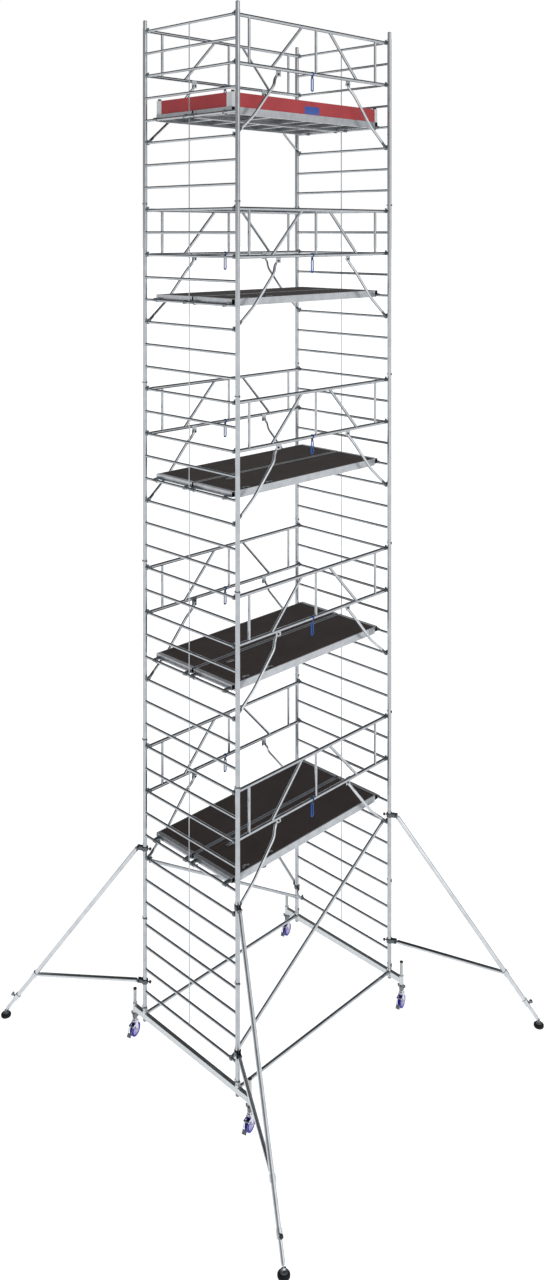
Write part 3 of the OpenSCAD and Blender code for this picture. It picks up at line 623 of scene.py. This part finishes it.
SLOT_FINISH = {
    "frame_aluminium": TUBE, "beam_steel": BEAM, "rail_aluminium": RAIL, "claw_casting": CLAW,
    "clip_steel": CLIP, "deck_aluminium": PROFILE, "phenolic_ply": PLY, "red_board": BOARD,
    "board_end": BOARD_END, "blue_plastic": BLUE, "black_knob": BLACK, "spindle_steel": SPINDLE,
    "nut_casting": NUT, "castor_steel": FORK, "wheel_plastic": TREAD, "pedal_steel": PEDAL,
    "foot_rubber": RUBBER,
}


@dataclass
class Palette:
    """The materials, each made once from its finish."""

    made: dict[str, bpy.types.Material] = field(default_factory=dict)

    def look(self, finish: Finish) -> bpy.types.Material:
        """The material of a finish."""
        if finish.name not in self.made:
            self.made[finish.name] = finish.build()
        return self.made[finish.name]

    def dress_frame(self) -> None:
        """Gives every CAD node the finish of its slot in the record."""
        for row in frame["record"]["subparts"]:
            finish = SLOT_FINISH[row["material_slot"]]
            if row["node"].startswith("outrigger_") and row["material_slot"] == "rail_aluminium":
                finish = OUTRIGGER
            node = frame["nodes"][row["node"]]
            if not node.material_slots:
                node.data.materials.append(self.look(finish))
            for place in node.material_slots:
                place.material = self.look(finish)


# ---------- the tower's own sizes ----------


@dataclass(frozen=True)
class Tower:
    """The sizes that the pieces share."""

    px: float
    py: float
    rung_pitch: float = 0.25
    frame_foot: float = 0.38
    first_rung: float = 0.21
    base_rungs: int = 4
    frame_rungs: int = 8
    post_r: float = 0.025
    rung_r: float = 0.015
    rail_r: float = 0.02
    guard_inset: float = 0.0475
    deck_rise: float = 0.06
    seat: float = 0.0003

    def rung_z(self, k: int) -> float:
        """The height of rung k, counted from 1 at the bottom."""
        return self.frame_foot + self.first_rung + (k - 1) * self.rung_pitch

    def lower_rail_z(self, level: int) -> float:
        """The height of a level's lower guardrail."""
        return self.rung_z(self.frame_rungs * level + 2)

    def deck_z(self, level: int) -> float:
        """The height of the top of a level's plywood."""
        return self.rung_z(self.frame_rungs * level) + self.deck_rise

    def guard_lines(self, level: int) -> list[Matrix]:
        """Both long sides of a level: +Y towards the middle, the lower rail at the origin."""
        return [mirrored(1, side) @ at(0, -self.py + self.guard_inset, self.lower_rail_z(level))
                for side in (1, -1)]


def measured_tower() -> Tower:
    """Reads the plan of the posts from the frame."""
    low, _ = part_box("base_frames")
    return Tower(px=-low.x - Tower.post_r, py=-low.y - Tower.post_r)


def joint_place(name: str) -> Vector:
    """Where a joint is at rest."""
    return Vector(next(j["pos_m"] for j in frame["joints"] if j["name"] == name))


@dataclass(frozen=True)
class Pattern:
    """A piece that is modelled once, and what its numbered copies are."""

    piece: Piece
    name: str
    body: str
    slot: str
    finish: Finish
    stands: bool = False

    def stamp(self, i: int, place: Matrix, palette: Palette) -> None:
        """Makes copy i on body i.

        Args:
            i: The number of the corner, from 1.
            place: Where the copy goes.
            palette: The materials.
        """
        body = f"{self.body}_{i}"
        shown(copied(self.piece, place, f"{self.name}_{i}"), body,
              palette.look(self.finish), [body] if self.stands else ())


# ---------- castors ----------


@dataclass
class Castor:
    """A braked castor on its height spindle, modelled about its own swivel axis and copied."""

    palette: Palette
    axle_z: float = 0.075
    wheel_w: float = 0.045
    rim_r: float = 0.05
    fork_y: float = 0.0265
    fork_t: float = 0.004
    pedal_x: float = -0.066
    pedal_z: float = 0.14
    pedal_slope: float = 60.0
    pedal_l: float = 0.098
    toe_from: float = 0.066
    stand_turn: float = 15.0
    bearing_top: float = 0.206
    nut_h: float = 0.064
    nut_turn: float = 20.0
    nut_span: float = 0.097
    spindle_r: float = 0.019
    thread_top: float = 0.5255
    thread_pitch: float = 0.008
    running_gap: float = 0.0006

    def tyre(self) -> Piece:
        """The tread: a rounded section spun about the axle."""
        depth = self.axle_z - self.rim_r
        piece = fresh(bpy.ops.mesh.primitive_plane_add, "tyre", size=1, rotation=(0, QUARTER, 0),
                      location=(0, 0, self.axle_z + self.rim_r + depth / 2))
        with editing(piece):
            bpy.ops.mesh.select_all(action="SELECT")
            bpy.ops.transform.resize(value=(1, self.wheel_w, depth))
            bpy.ops.mesh.bevel(offset=7 * MM, segments=4, affect="VERTICES")
            bpy.ops.mesh.delete(type="ONLY_FACE")
            bpy.ops.mesh.select_all(action="SELECT")
            bpy.ops.mesh.spin(steps=48, angle=2 * math.pi, center=(0, 0, self.axle_z),
                              axis=(0, 1, 0))
        close_up(piece)
        return piece

    def rim(self) -> Piece:
        """The wheel's disc: a dished face with a raised hub and ribs on both sides."""
        piece = fresh(bpy.ops.mesh.primitive_cylinder_add, "rim", vertices=40, radius=self.rim_r,
                      depth=self.wheel_w - 4 * MM, rotation=(QUARTER, 0, 0),
                      location=(0, 0, self.axle_z))
        stepped(piece, facing("y"), ((4, 0), (2, -11), (20, 0), (2, 12), (7, 0), (1.5, -3)))
        soften(piece, 0.7 * MM)
        ribs = [moved(block("rib", (0.019, -0.0165, -0.0025), (self.rim_r - 0.004, 0.0165, 0.0025),
                            1 * MM),
                      at(0, 0, self.axle_z) @ turned(36 * i, "Y")) for i in range(10)]
        return joined([piece, *ribs], "rim")

    def fork(self) -> Piece:
        """The pressed fork: two tapered cheeks under a crown and its bearing cup."""
        outer = self.fork_y + self.fork_t
        pieces = []
        for side in SIDES:
            y = side * (self.fork_y + self.fork_t / 2)
            cheek = fresh(bpy.ops.mesh.primitive_cube_add, "cheek", size=1, location=(0, y, 0.122),
                          scale=(0.05, self.fork_t, 0.092))
            with editing(cheek):
                pick(cheek, "faces", facing("z", -1))
                bpy.ops.transform.resize(value=(0.5, 1, 1))
                bpy.ops.mesh.extrude_region_move(TRANSFORM_OT_translate={"value": (0, 0, -0.014)})
                bpy.ops.transform.resize(value=(0.6, 1, 1))
            ear = fresh(bpy.ops.mesh.primitive_cube_add, "ear", size=1, location=(-0.043, y, 0.143),
                        scale=(0.05, self.fork_t, 0.024))
            with editing(ear):
                pick(ear, "faces", facing("x", -1))
                bpy.ops.transform.resize(value=(1, 1, 0.7))
            pieces += [soften(cheek, 1.5 * MM, 3), soften(ear, 1.2 * MM)]
            half = self.fork_t / 2
            for radius, x, z in ((0.017, 0, self.axle_z), (0.011, self.pedal_x, self.pedal_z)):
                pieces.append(moved(disc("boss", radius, -half, half, 1 * MM),
                                    at(x, y, z) @ turned(90, "X")))
            for radius, x, z, sides in ((0.0095, 0, self.axle_z, 6),
                                        (0.0062, self.pedal_x, self.pedal_z, 20)):
                pieces.append(moved(disc("head", radius, 0, 6 * MM, 1 * MM, vertices=sides),
                                    at(x, side * outer, z) @ turned(-90 * side, "X")))
        pieces.append(block("crown", (-0.034, -outer, 0.162), (0.034, outer, 0.169), 2.5 * MM))
        cup = fresh(bpy.ops.mesh.primitive_cylinder_add, "cup", vertices=36, radius=0.033,
                    depth=0.012, location=(0, 0, 0.174))
        stepped(cup, facing("z", 1), ((2, 4), (6, 3), (3, 6), (2, 6)))
        pieces.append(soften(cup, 1 * MM))
        return joined(pieces, "fork")

    def pedal(self) -> Piece:
        """The brake pedal: a ribbed toe plate with a rolled lip, on two arms from its tube."""
        width = self.fork_y - 1.5 * MM
        plate = block("plate", (-self.pedal_l - 0.002, -width, -0.003),
                      (-self.toe_from, width, 0.003), 1.5 * MM)
        arms = [block("arm", (-self.toe_from - 0.004, min(y, 0.84 * y), -0.003),
                      (-0.004, max(y, 0.84 * y), 0.003), 1 * MM) for y in (-width, width)]
        ribs = [block("rib", (-0.094 + i * 0.009, -width + 0.004, 0.002),
                      (-0.089 + i * 0.009, width - 0.004, 0.0048), 0.8 * MM) for i in range(3)]
        lip = moved(disc("lip", 0.006, -width, width, 1.5 * MM),
                    at(-self.pedal_l - 0.004, 0, 0) @ turned(90, "X"))
        sleeve = moved(disc("sleeve", 0.0085, -width, width, 1 * MM), turned(90, "X"))
        return moved(joined([plate, *arms, *ribs, lip, sleeve], "pedal"),
                     at(self.pedal_x, 0, self.pedal_z) @ turned(-self.pedal_slope, "Y"))

    def thread(self) -> Piece:
        """The spindle: one crest of the thread, stacked to the full length."""
        low = self.bearing_top + self.running_gap
        count = round((self.thread_top - self.bearing_top) / self.thread_pitch)
        pitch = (self.thread_top - low) / count
        middle = low + pitch / 2
        piece = fresh(bpy.ops.mesh.primitive_cylinder_add, "thread", vertices=28,
                      radius=self.spindle_r, depth=pitch, end_fill_type="NOTHING",
                      location=(0, 0, middle))
        with editing(piece, "EDGE"):
            pick(piece, "edges",
                 lambda edge: abs((edge.verts[0].co - edge.verts[1].co).z) > pitch / 2)
            bpy.ops.mesh.subdivide(number_cuts=3)
        with editing(piece, "VERT"):
            pick(piece, "verts", lambda vert: abs(vert.co.z - middle) > pitch * 0.4)
            bpy.ops.transform.resize(value=(0.93, 0.93, 1))
        modify(piece, "ARRAY", count=count, use_relative_offset=False, use_constant_offset=True,
               constant_offset_displace=(0, 0, pitch), use_merge_vertices=True,
               merge_threshold=0.1 * MM)
        with editing(piece, "EDGE"):
            bpy.ops.mesh.select_all(action="SELECT")
            bpy.ops.mesh.fill_holes(sides=0)
        close_up(piece)
        return piece

    def cap(self) -> Piece:
        """The domed cap that closes the top of the spindle."""
        piece = disc("cap", self.spindle_r + 2 * MM, self.thread_top, self.thread_top + 9 * MM,
                     1.5 * MM)
        stepped(piece, lambda face: face.normal.z > 0.9 and len(face.verts) > 8, ((6, 1),))
        return piece

    def nut(self) -> Piece:
        """The cast height nut: a barrel with four flared wings that a hand or a bar turns."""
        low = self.bearing_top + self.running_gap
        barrel = fresh(bpy.ops.mesh.primitive_cylinder_add, "barrel", vertices=36, radius=0.028,
                       depth=self.nut_h, location=(0, 0, low + self.nut_h / 2))
        stepped(barrel, facing("z"), ((2, 0), (1.5, -1.5), (4, 0), (1, 1)))
        pieces = [soften(barrel, 1.5 * MM)]
        tip = self.nut_span / 2 - 0.009
        for quarter in range(4):
            wing = fresh(bpy.ops.mesh.primitive_cube_add, "wing", size=1,
                         location=((tip + 0.02) / 2, 0, low + self.nut_h * 0.58),
                         scale=(tip - 0.02, 0.014, self.nut_h * 0.56))
            with editing(wing):
                pick(wing, "faces", facing("x", 1))
                bpy.ops.transform.resize(value=(1, 1.3, 0.8))
                bpy.ops.transform.translate(value=(0, 0, 0.006))
            end = moved(disc("end", 0.009, low + self.nut_h * 0.46, low + self.nut_h - 0.004,
                             3 * MM), at(tip, 0))
            pieces.append(moved(joined([soften(wing, 2 * MM), end], "wing"),
                                turned(90 * quarter, "Z")))
        return moved(joined(pieces, "nut"), turned(self.nut_turn, "Z"))

    def build(self) -> None:
        """Models one castor and copies it to the four corners."""
        patterns = [
            Pattern(self.tyre(), "wheel_tread", "wheel", "wheel_plastic", TREAD, True),
            Pattern(self.rim(), "wheel_disc", "wheel", "wheel_plastic", DISC),
            Pattern(self.fork(), "castor_fork", "caster_fork", "castor_steel", FORK, True),
            Pattern(self.pedal(), "brake_plate", "brake_pedal", "pedal_steel", PEDAL, True),
            Pattern(self.thread(), "spindle_thread", "spindle", "spindle_steel", SPINDLE, True),
            Pattern(self.cap(), "spindle_cap", "spindle", "black_knob", BLACK),
            Pattern(self.nut(), "height_nut", "spindle_nut", "nut_casting", NUT, True),
        ]
        for i in range(1, 5):
            place = joint_place(f"wheel_{i}_spin")
            for pattern in patterns:
                turn = 0 if pattern.body.startswith("spindle") else self.stand_turn
                pattern.stamp(i, at(place.x, place.y) @ turned(turn, "Z"), self.palette)
        for pattern in patterns:
            bpy.data.objects.remove(pattern.piece)


# ---------- outriggers ----------


@dataclass
class OutriggerTrim:
    """The outriggers' feet, hand knobs and pin caps, modelled along +X and turned into place."""

    tower: Tower
    palette: Palette
    reach: float = 1.72
    pivot_z: float = 0.066
    pad_r: float = 0.0575
    pad_h: float = 0.04
    upper_z: float = 2.19
    lower_z: float = 0.702
    hinge: tuple[float, float] = (0.08, 2.198)
    arm_pin: float = 0.07
    leg_out: float = 0.23
    collar_r: float = 0.0315
    ear_y: float = 0.0146
    ear_t: float = 0.008
    ear_r: float = 0.014

    def corner(self, i: int) -> Matrix:
        """The place and turn of outrigger i."""
        post = joint_place(f"outrigger_{i}_swing")
        foot = joint_place(f"outrigger_foot_{i}_tilt")
        way = math.atan2(foot.y - post.y, foot.x - post.x)
        return at(post.x, post.y) @ Matrix.Rotation(way, 4, "Z")

    def pad(self) -> Piece:
        """The rubber pad: a grooved disc that flares to the floor."""
        piece = fresh(bpy.ops.mesh.primitive_cylinder_add, "pad", vertices=48,
                      radius=self.pad_r - 2 * MM, depth=0.004, location=(0, 0, 0.002))
        with editing(piece):
            pick(piece, "faces", facing("z", 1))
            for growth, rise in ((2, 2), (0, 8), (-1.5, 1), (0, 1.5), (1.5, 1), (0, 4), (-7, 7),
                                 (-13, 11.5)):
                bpy.ops.mesh.extrude_region_move(
                    TRANSFORM_OT_translate={"value": (0, 0, rise * MM)})
                mesh = bmesh.from_edit_mesh(piece.data)
                radius = max(Vector(vert.co.xy).length for vert in mesh.verts if vert.select)
                share = (radius + growth * MM) / radius
                bpy.ops.transform.resize(value=(share, share, 1))
        return moved(soften(piece, 0.8 * MM), at(self.reach, 0))

    def shoe(self) -> Piece:
        """The steel shoe on the pad: a plate, two ears and the tilt bolt."""
        low = self.pad_h + self.tower.seat
        pieces = [disc("plate", 0.034, low, low + 5 * MM, 1 * MM, 36)]
        for side in SIDES:
            y = side * self.ear_y
            pieces += [
                block("ear", (-self.ear_r, y - self.ear_t / 2, self.pad_h + 0.004),
                      (self.ear_r, y + self.ear_t / 2, self.pivot_z), 1 * MM),
                moved(disc("round", self.ear_r, -self.ear_t / 2, self.ear_t / 2, 1 * MM),
                      at(0, y, self.pivot_z) @ turned(90, "X")),
                moved(disc("head", 0.0095, 0, 0.005, 1 * MM, 6),
                      at(0, side * 0.0184, self.pivot_z) @ turned(-90 * side, "X"))]
        return moved(joined(pieces, "shoe"), at(self.reach, 0))

    def knobs(self) -> Piece:
        """The knobs behind both clamps and on the leg's collar, and the caps of the hinge pins."""
        back = -self.tower.post_r - 0.0255
        pieces = [moved(star_knob("knob", 0.038, 0.022), at(back, 0, z) @ turned(-90, "Y"))
                  for z in (self.upper_z, self.lower_z)]
        pieces += [moved(disc("cap", 0.011, 0, 0.0075, 2 * MM, 20),
                         at(rho, side * 0.0222, z) @ turned(-90 * side, "X"))
                   for rho, z in (self.hinge, (self.arm_pin, self.lower_z)) for side in SIDES]
        top = Vector((self.hinge[0], 0, self.hinge[1]))
        foot = Vector((self.reach, 0, self.pivot_z))
        slope = (foot - top).normalized()
        out = Vector((-slope.z, 0, slope.x))
        root = foot - slope * (self.leg_out - 0.016) + out * (self.collar_r + 0.011)
        away = aimed(root, root + out)
        knob = moved(star_knob("knob", 0.052, 0.025), away)
        neck = moved(disc("neck", 0.009, -0.011, 0.003, 1 * MM, 16), away)
        return joined([*pieces, knob, neck], "knobs")

    def build(self) -> None:
        """Models one set and copies it to the four outriggers."""
        patterns = [
            Pattern(self.pad(), "foot_pad", "outrigger_foot", "foot_rubber", RUBBER, True),
            Pattern(self.shoe(), "foot_shoe", "outrigger_foot", "claw_casting", CLAW),
            Pattern(self.knobs(), "outrigger_knobs", "outrigger", "black_knob", BLACK),
        ]
        for i in range(1, 5):
            for pattern in patterns:
                pattern.stamp(i, self.corner(i), self.palette)
        for pattern in patterns:
            bpy.data.objects.remove(pattern.piece)


# ---------- guardrails ----------


@dataclass
class Guardrails:
    """The bent struts, their pivots and the storage hooks of the guardrails."""

    tower: Tower
    palette: Palette
    strut_r: float = 0.016
    eye_y: float = 0.0366
    bracket_x: float = 0.57
    pivot_drop: float = 0.052
    strut_drop: float = 0.75
    knee: tuple[float, float] = (0.285, 0.515)
    tube_gap: float = 0.045
    plate_t: float = 0.006
    hook_x: float = -0.06

    def strut(self) -> Piece:
        """One bent tube from the bracket's pivot to the claw, with its flattened eye."""
        eye = Vector((self.bracket_x, self.eye_y, -self.pivot_drop))
        knee = Vector((self.tower.px - self.knee[0], 0, -self.knee[1]))
        rise = math.atan2(self.strut_drop - self.knee[1], self.knee[0])
        end = Vector((self.tower.px - self.tube_gap * math.cos(rise), 0,
                      -self.strut_drop + self.tube_gap * math.sin(rise)))
        hip = eye + Vector((0.048, -0.003, -0.058))
        waist = Vector((self.bracket_x + 0.09, 0, -self.pivot_drop - 0.128))
        points = [eye + Vector((0.004, 0, -0.006)), hip, waist, knee, end]
        tube = swept("tube", points, self.strut_r, 0.05)
        with editing(tube, "VERT"):
            pick(tube, "verts", lambda vert: (vert.co - eye).length < 0.05)
            bpy.ops.transform.resize(value=(1, 0.62, 1))
        head = moved(disc("head", 0.018, -0.0098, 0.0098, 2 * MM), at(*eye) @ turned(90, "X"))
        return joined([tube, head], "strut")

    def pivot(self) -> Piece:
        """The pivot bolt of a strut, with a domed head on either side."""
        low = self.tower.rail_r + self.tower.seat
        lengths = ((0.0055, low - 0.001, low + 0.035), (0.011, low - 0.0088, low - 0.0004),
                   (0.011, low + self.plate_t + 0.0212, low + self.plate_t + 0.029))
        place = at(self.bracket_x, 0, -self.pivot_drop) @ turned(-90, "X")
        return joined([moved(disc("part", radius, start, end, min(3 * MM, radius * 0.3), 20), place)
                       for radius, start, end in lengths], "pivot")

    def hook(self) -> Piece:
        """A storage hook: a long round loop that hangs from a band on the lower rail."""
        band = fresh(bpy.ops.mesh.primitive_cylinder_add, "band", vertices=32,
                     end_fill_type="NOTHING", radius=self.tower.rail_r + 0.5 * MM, depth=0.018,
                     rotation=(0, QUARTER, 0))
        settle(band)
        modify(band, "SOLIDIFY", thickness=4 * MM, offset=1)
        soften(band, 1 * MM)
        loop = fresh(bpy.ops.mesh.primitive_torus_add, "loop", major_radius=0.0155,
                     minor_radius=0.0085, major_segments=28, minor_segments=10,
                     rotation=(QUARTER, 0, 0), location=(0, 0, -0.174))
        with editing(loop, "VERT"):
            bpy.ops.mesh.select_all(action="SELECT")
            bpy.ops.transform.resize(value=(1, 0.58, 1))
            pick(loop, "verts", lambda vert: vert.co.z > -0.1735)
            bpy.ops.transform.translate(value=(0, 0, 0.1115))
        close_up(loop)
        return joined([band, loop], "hook")

    def catch(self) -> Piece:
        """The black catch that closes a hook's band over its loop."""
        return block("catch", (-0.012, -0.0075, -0.047), (0.012, 0.0075, -0.0245), 2.5 * MM)

    def build(self) -> None:
        """Models one of each and spreads them over the levels."""
        look = self.palette.look
        lines = [line for level in LEVELS for line in self.tower.guard_lines(level)]
        ends = [line @ mirrored(side, 1) for line in lines for side in (1, -1)]
        shown(spread(self.strut(), ends, "strut_tubes"), "root", look(OUTRIGGER),
              ["guardrail_struts"])
        shown(spread(self.pivot(), ends, "strut_pivots"), "root", look(BLACK))
        hung = [line @ at(self.hook_x, 0) for line in lines]
        shown(spread(self.hook(), hung, "storage_loops"), "root", look(BLUE),
              ["rail_hooks"])
        shown(spread(self.catch(), hung, "storage_catches"), "root", look(BLACK))


# ---------- ladder frames ----------


@dataclass
class FrameTrim:
    """The weld beads of the rungs, and the hand knobs under the castor beams."""

    tower: Tower
    palette: Palette
    bead_r: float = 0.0022
    knob_across: float = 0.054
    knob_top: float = 0.2834

    def bead(self) -> Piece:
        """One weld bead round a rung, following the saddle of the post; its rung runs along +Y."""
        ring = fresh(bpy.ops.mesh.primitive_torus_add, "bead",
                     major_radius=self.tower.rung_r + 1 * MM, minor_radius=self.bead_r,
                     major_segments=14, minor_segments=4, rotation=(QUARTER, 0, 0))
        settle(ring)
        for vert in ring.data.vertices:
            vert.co.y += math.sqrt(self.tower.post_r ** 2 - min(abs(vert.co.x), 0.017) ** 2)
        return ring

    def build(self) -> None:
        """Spreads the beads over every rung end, and puts a knob under each corner."""
        look = self.palette.look
        last = self.tower.base_rungs + len(LEVELS) * self.tower.frame_rungs
        tower = self.tower
        places = [at(sx * tower.px, sy * tower.py, tower.rung_z(k)) @ mirrored(1, -sy)
                  for k in range(1, last + 1) for sx, sy in CORNERS]
        shown(spread(self.bead(), places, "rung_welds"), "root", look(TUBE))
        knob = moved(star_knob("knob", self.knob_across, 0.027),
                     at(0, 0, self.knob_top) @ turned(180, "X"))
        bolt = disc("bolt", 0.005, self.knob_top - 0.001, self.knob_top + 0.0225, 1 * MM, 16)
        corners = [at(sx * self.tower.px, sy * self.tower.py) for sx, sy in CORNERS]
        shown(spread(joined([knob, bolt], "beam_knob"), corners, "beam_knobs"), "root",
              look(CLAW), ["beam_lock_knobs"])


# ---------- decks ----------


@dataclass
class DeckTrim:
    """The rivets of the decks, the hatch lids with their hinges and pulls, and the boards' trim."""

    tower: Tower
    palette: Palette
    deck_w: float = 0.6
    deck_gap: float = 0.024
    rivet_r: float = 0.0042
    rivet_pitch: float = 0.33
    rivet_drop: float = 0.052
    ply_t: float = 0.012
    hatch_rim: float = 0.016
    label_centre: tuple[float, float] = (0.043, 0.048)
    label_size: tuple[float, float] = (0.24, 0.086)

    def rivets(self) -> None:
        """Rows of domed rivets along the outer side of every deck."""
        dome = fresh(bpy.ops.mesh.primitive_uv_sphere_add, "rivet", segments=8, ring_count=4,
                     radius=self.rivet_r)
        with editing(dome, "VERT"):
            bpy.ops.mesh.select_all(action="SELECT")
            bpy.ops.transform.resize(value=(1, 0.45, 1))
        face = self.deck_gap / 2 + self.deck_w
        places = [mirrored(1, side)
                  @ at(i * self.rivet_pitch, -face, self.tower.deck_z(level) - drop)
                  for level in LEVELS for side in (1, -1) for i in range(-3, 4)
                  for drop in (self.rivet_drop - 0.02, self.rivet_drop)]
        shown(spread(dome, places, "deck_rivets"), "root",
              self.palette.look(PROFILE))

    def lid(self, level: int) -> None:
        """A hatch: its ply lid with an inset rim, its hinges, and a pull.

        Args:
            level: The level that it belongs to.
        """
        body = f"hatch_{level}"
        low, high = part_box(body)
        top = self.tower.deck_z(level)
        hinge = joint_place(f"{body}_hinge")
        low.y = hinge.y
        board = block(f"hatch_lid_{level}", (low.x, low.y, top - self.ply_t),
                      (high.x, high.y, top), 1 * MM)
        stepped(board, lambda face: face.normal.z > 0.9 and face.calc_area() > 0.05,
                ((self.hatch_rim / MM, 0), (0.5, -0.8)))
        shown(board, body, self.palette.look(PLY), [body])
        middle = (low.x + high.x) / 2
        far = high.y - 0.06
        parts = []
        for sign in SIDES:
            x = middle + sign * (high.x - low.x) * 0.32
            parts += [moved(disc("knuckle", 0.005, -0.022, 0.022, 0.8 * MM, 20),
                            at(x, hinge.y, hinge.z) @ turned(90, "Y")),
                      block("leaf", (x - 0.022, hinge.y, top - 0.001),
                            (x + 0.022, hinge.y + 0.03, top + 0.003), 0.8 * MM)]
        plate = block("plate", (middle - 0.05, far - 0.022, top - 0.001),
                      (middle + 0.05, far + 0.022, top + 0.0015), 0.7 * MM)
        grip = fresh(bpy.ops.mesh.primitive_torus_add, "grip", major_radius=0.02,
                     minor_radius=0.0028, major_segments=24, minor_segments=8,
                     location=(middle, far, top + 0.0046))
        with editing(grip, "VERT"):
            pick(grip, "verts", lambda vert: vert.co.x > middle)
            bpy.ops.transform.translate(value=(0.018, 0, 0))
        moved(grip, at(-0.009, 0))
        shown(joined([*parts, plate, grip], f"hatch_hinges_{level}"), body,
              self.palette.look(PROFILE))

    def boards(self) -> None:
        """The plain blue plate on the front toe board, and the black catches at its corners."""
        low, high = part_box("toe_boards")
        x, rise = self.label_centre
        wide, tall = (size / 2 for size in self.label_size)
        plate = block("name_plate", (x - wide, low.y - 0.0008, low.z + rise - tall),
                      (x + wide, low.y + 0.0004, low.z + rise + tall), 0.4 * MM)
        shown(plate, "root", self.palette.look(LABEL))
        _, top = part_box("toe_board_ends")
        catch = block("catch", (-0.016, -0.014, -0.001), (0.016, 0.014, 0.022), 4 * MM)
        stepped(catch, facing("z", 1), ((3, -2),))
        corners = [at(sx * (top.x - 0.03), sy * (high.y - 0.012), top.z) for sx, sy in CORNERS]
        shown(spread(catch, corners, "toe_board_catches"), "root",
              self.palette.look(BLACK))

    def build(self) -> None:
        """Makes the rivets, the five hatches and the boards' trim."""
        self.rivets()
        for level in LEVELS:
            self.lid(level)
        self.boards()


# ---------- studio ----------


@dataclass
class Studio:
    """A level camera before the near corner, a pale floor and soft light from all round."""

    place: tuple[float, float, float] = (-8.91, -8.84, 9.10)
    heading: tuple[float, float] = (0.711, 0.703)
    lens: float = 30.61
    shift_up: float = -0.319
    floor_size: float = 900.0
    overhead: float = 0.03
    wall: float = 0.5
    softbox: float = 1.2
    key_turn: float = 38.0
    key_height: float = 38.0
    key_energy: float = 0.6
    key_spread: float = 60.0
    floor_glow: float = 0.95

    def camera(self) -> None:
        """The camera, with its view kept level and shifted down the tower."""
        data = bpy.data.cameras.new("camera")
        data.lens = self.lens
        data.shift_y = self.shift_up
        data.clip_end = 2000
        camera = linked(bpy.data.objects.new("camera", data))
        camera.location = self.place
        camera.rotation_euler = (QUARTER, 0, math.atan2(-self.heading[0], self.heading[1]))
        bpy.context.scene.camera = camera

    def floor(self) -> None:
        """A plain pale floor that runs to the horizon."""
        floor = fresh(bpy.ops.mesh.primitive_plane_add, "floor", size=self.floor_size,
                      location=(0, 0, -0.0005))
        material = bpy.data.materials.new("pale_floor")
        material.use_nodes = True
        tree = material.node_tree
        tree.nodes.clear()
        matt = add(tree, "ShaderNodeBsdfDiffuse", {"Color": linear("#F7F7F7")})
        glow = add(tree, "ShaderNodeEmission", {"Color": linear("#FFFFFF"),
                                                "Strength": self.floor_glow})
        both = add(tree, "ShaderNodeAddShader", {0: matt.outputs[0], 1: glow.outputs[0]})
        add(tree, "ShaderNodeOutputMaterial", {"Surface": both.outputs[0]})
        floor.data.materials.append(material)

    def sky(self) -> None:
        """Grey walls, one bright side and a dark ceiling: the light and dark lines on the tubes."""
        world = bpy.data.worlds.new("studio")
        world.use_nodes = True
        bpy.context.scene.world = world
        tree = world.node_tree
        tree.nodes.clear()
        way = add(tree, "ShaderNodeTexCoord").outputs["Generated"]
        ahead = Vector((*self.heading, 0)).normalized()

        def share(direction: tuple[float, ...], low: float, high: float) -> Socket:
            """How far a ray goes a direction's way, from 0 at low to 1 at high."""
            along = vectors(tree, "DOT_PRODUCT", way, direction)
            return add(tree, "ShaderNodeMapRange", {"Value": along, "From Min": low,
                                                    "From Max": high},
                       interpolation_type="SMOOTHSTEP").outputs[0]

        def level(by: Socket, first: object, second: object) -> Socket:
            """A brightness between two, by a share from 0 to 1."""
            return add(tree, "ShaderNodeMix", {0: by, 2: first, 3: second},
                       data_type="FLOAT").outputs[0]

        right = share((ahead.y, -ahead.x, 0), 0.0, 0.5)
        back = share((-ahead.x, -ahead.y, 0), -0.35, 0.3)
        walls = level(sums(tree, "MULTIPLY", right, back), self.wall, self.softbox)
        room = level(share((0, 0, 1), 0.3, 0.62), walls, self.overhead)
        seen = add(tree, "ShaderNodeLightPath").outputs["Is Camera Ray"]
        light = add(tree, "ShaderNodeBackground", {"Color": linear("#FFFFFF"),
                                                   "Strength": level(seen, room, 1.0)})
        add(tree, "ShaderNodeOutputWorld", {"Surface": light.outputs[0]})

    def key(self) -> None:
        """One broad, soft key light from the right."""
        data = bpy.data.lights.new("key", "SUN")
        data.energy = self.key_energy
        data.angle = math.radians(self.key_spread)
        light = linked(bpy.data.objects.new("key", data))
        back = math.atan2(-self.heading[1], -self.heading[0]) + math.radians(self.key_turn)
        high = math.radians(self.key_height)
        way = Vector((math.cos(back) * math.cos(high), math.sin(back) * math.cos(high),
                      math.sin(high)))
        light.rotation_euler = way.to_track_quat("Z", "Y").to_euler()

    def build(self) -> None:
        """Sets up the camera, the floor and the light."""
        bpy.context.scene.view_settings.view_transform = "Standard"
        self.camera()
        self.floor()
        self.sky()
        self.key()


def main() -> None:
    """Dresses the frame and builds each sub-assembly in order."""
    logging.basicConfig(level=logging.INFO, format="%(name)s: %(message)s")
    palette = Palette()
    tower = measured_tower()
    Studio().build()
    palette.dress_frame()
    FrameTrim(tower, palette).build()
    Castor(palette).build()
    OutriggerTrim(tower, palette).build()
    Guardrails(tower, palette).build()
    DeckTrim(tower, palette).build()


if __name__ == "__main__":
    main()
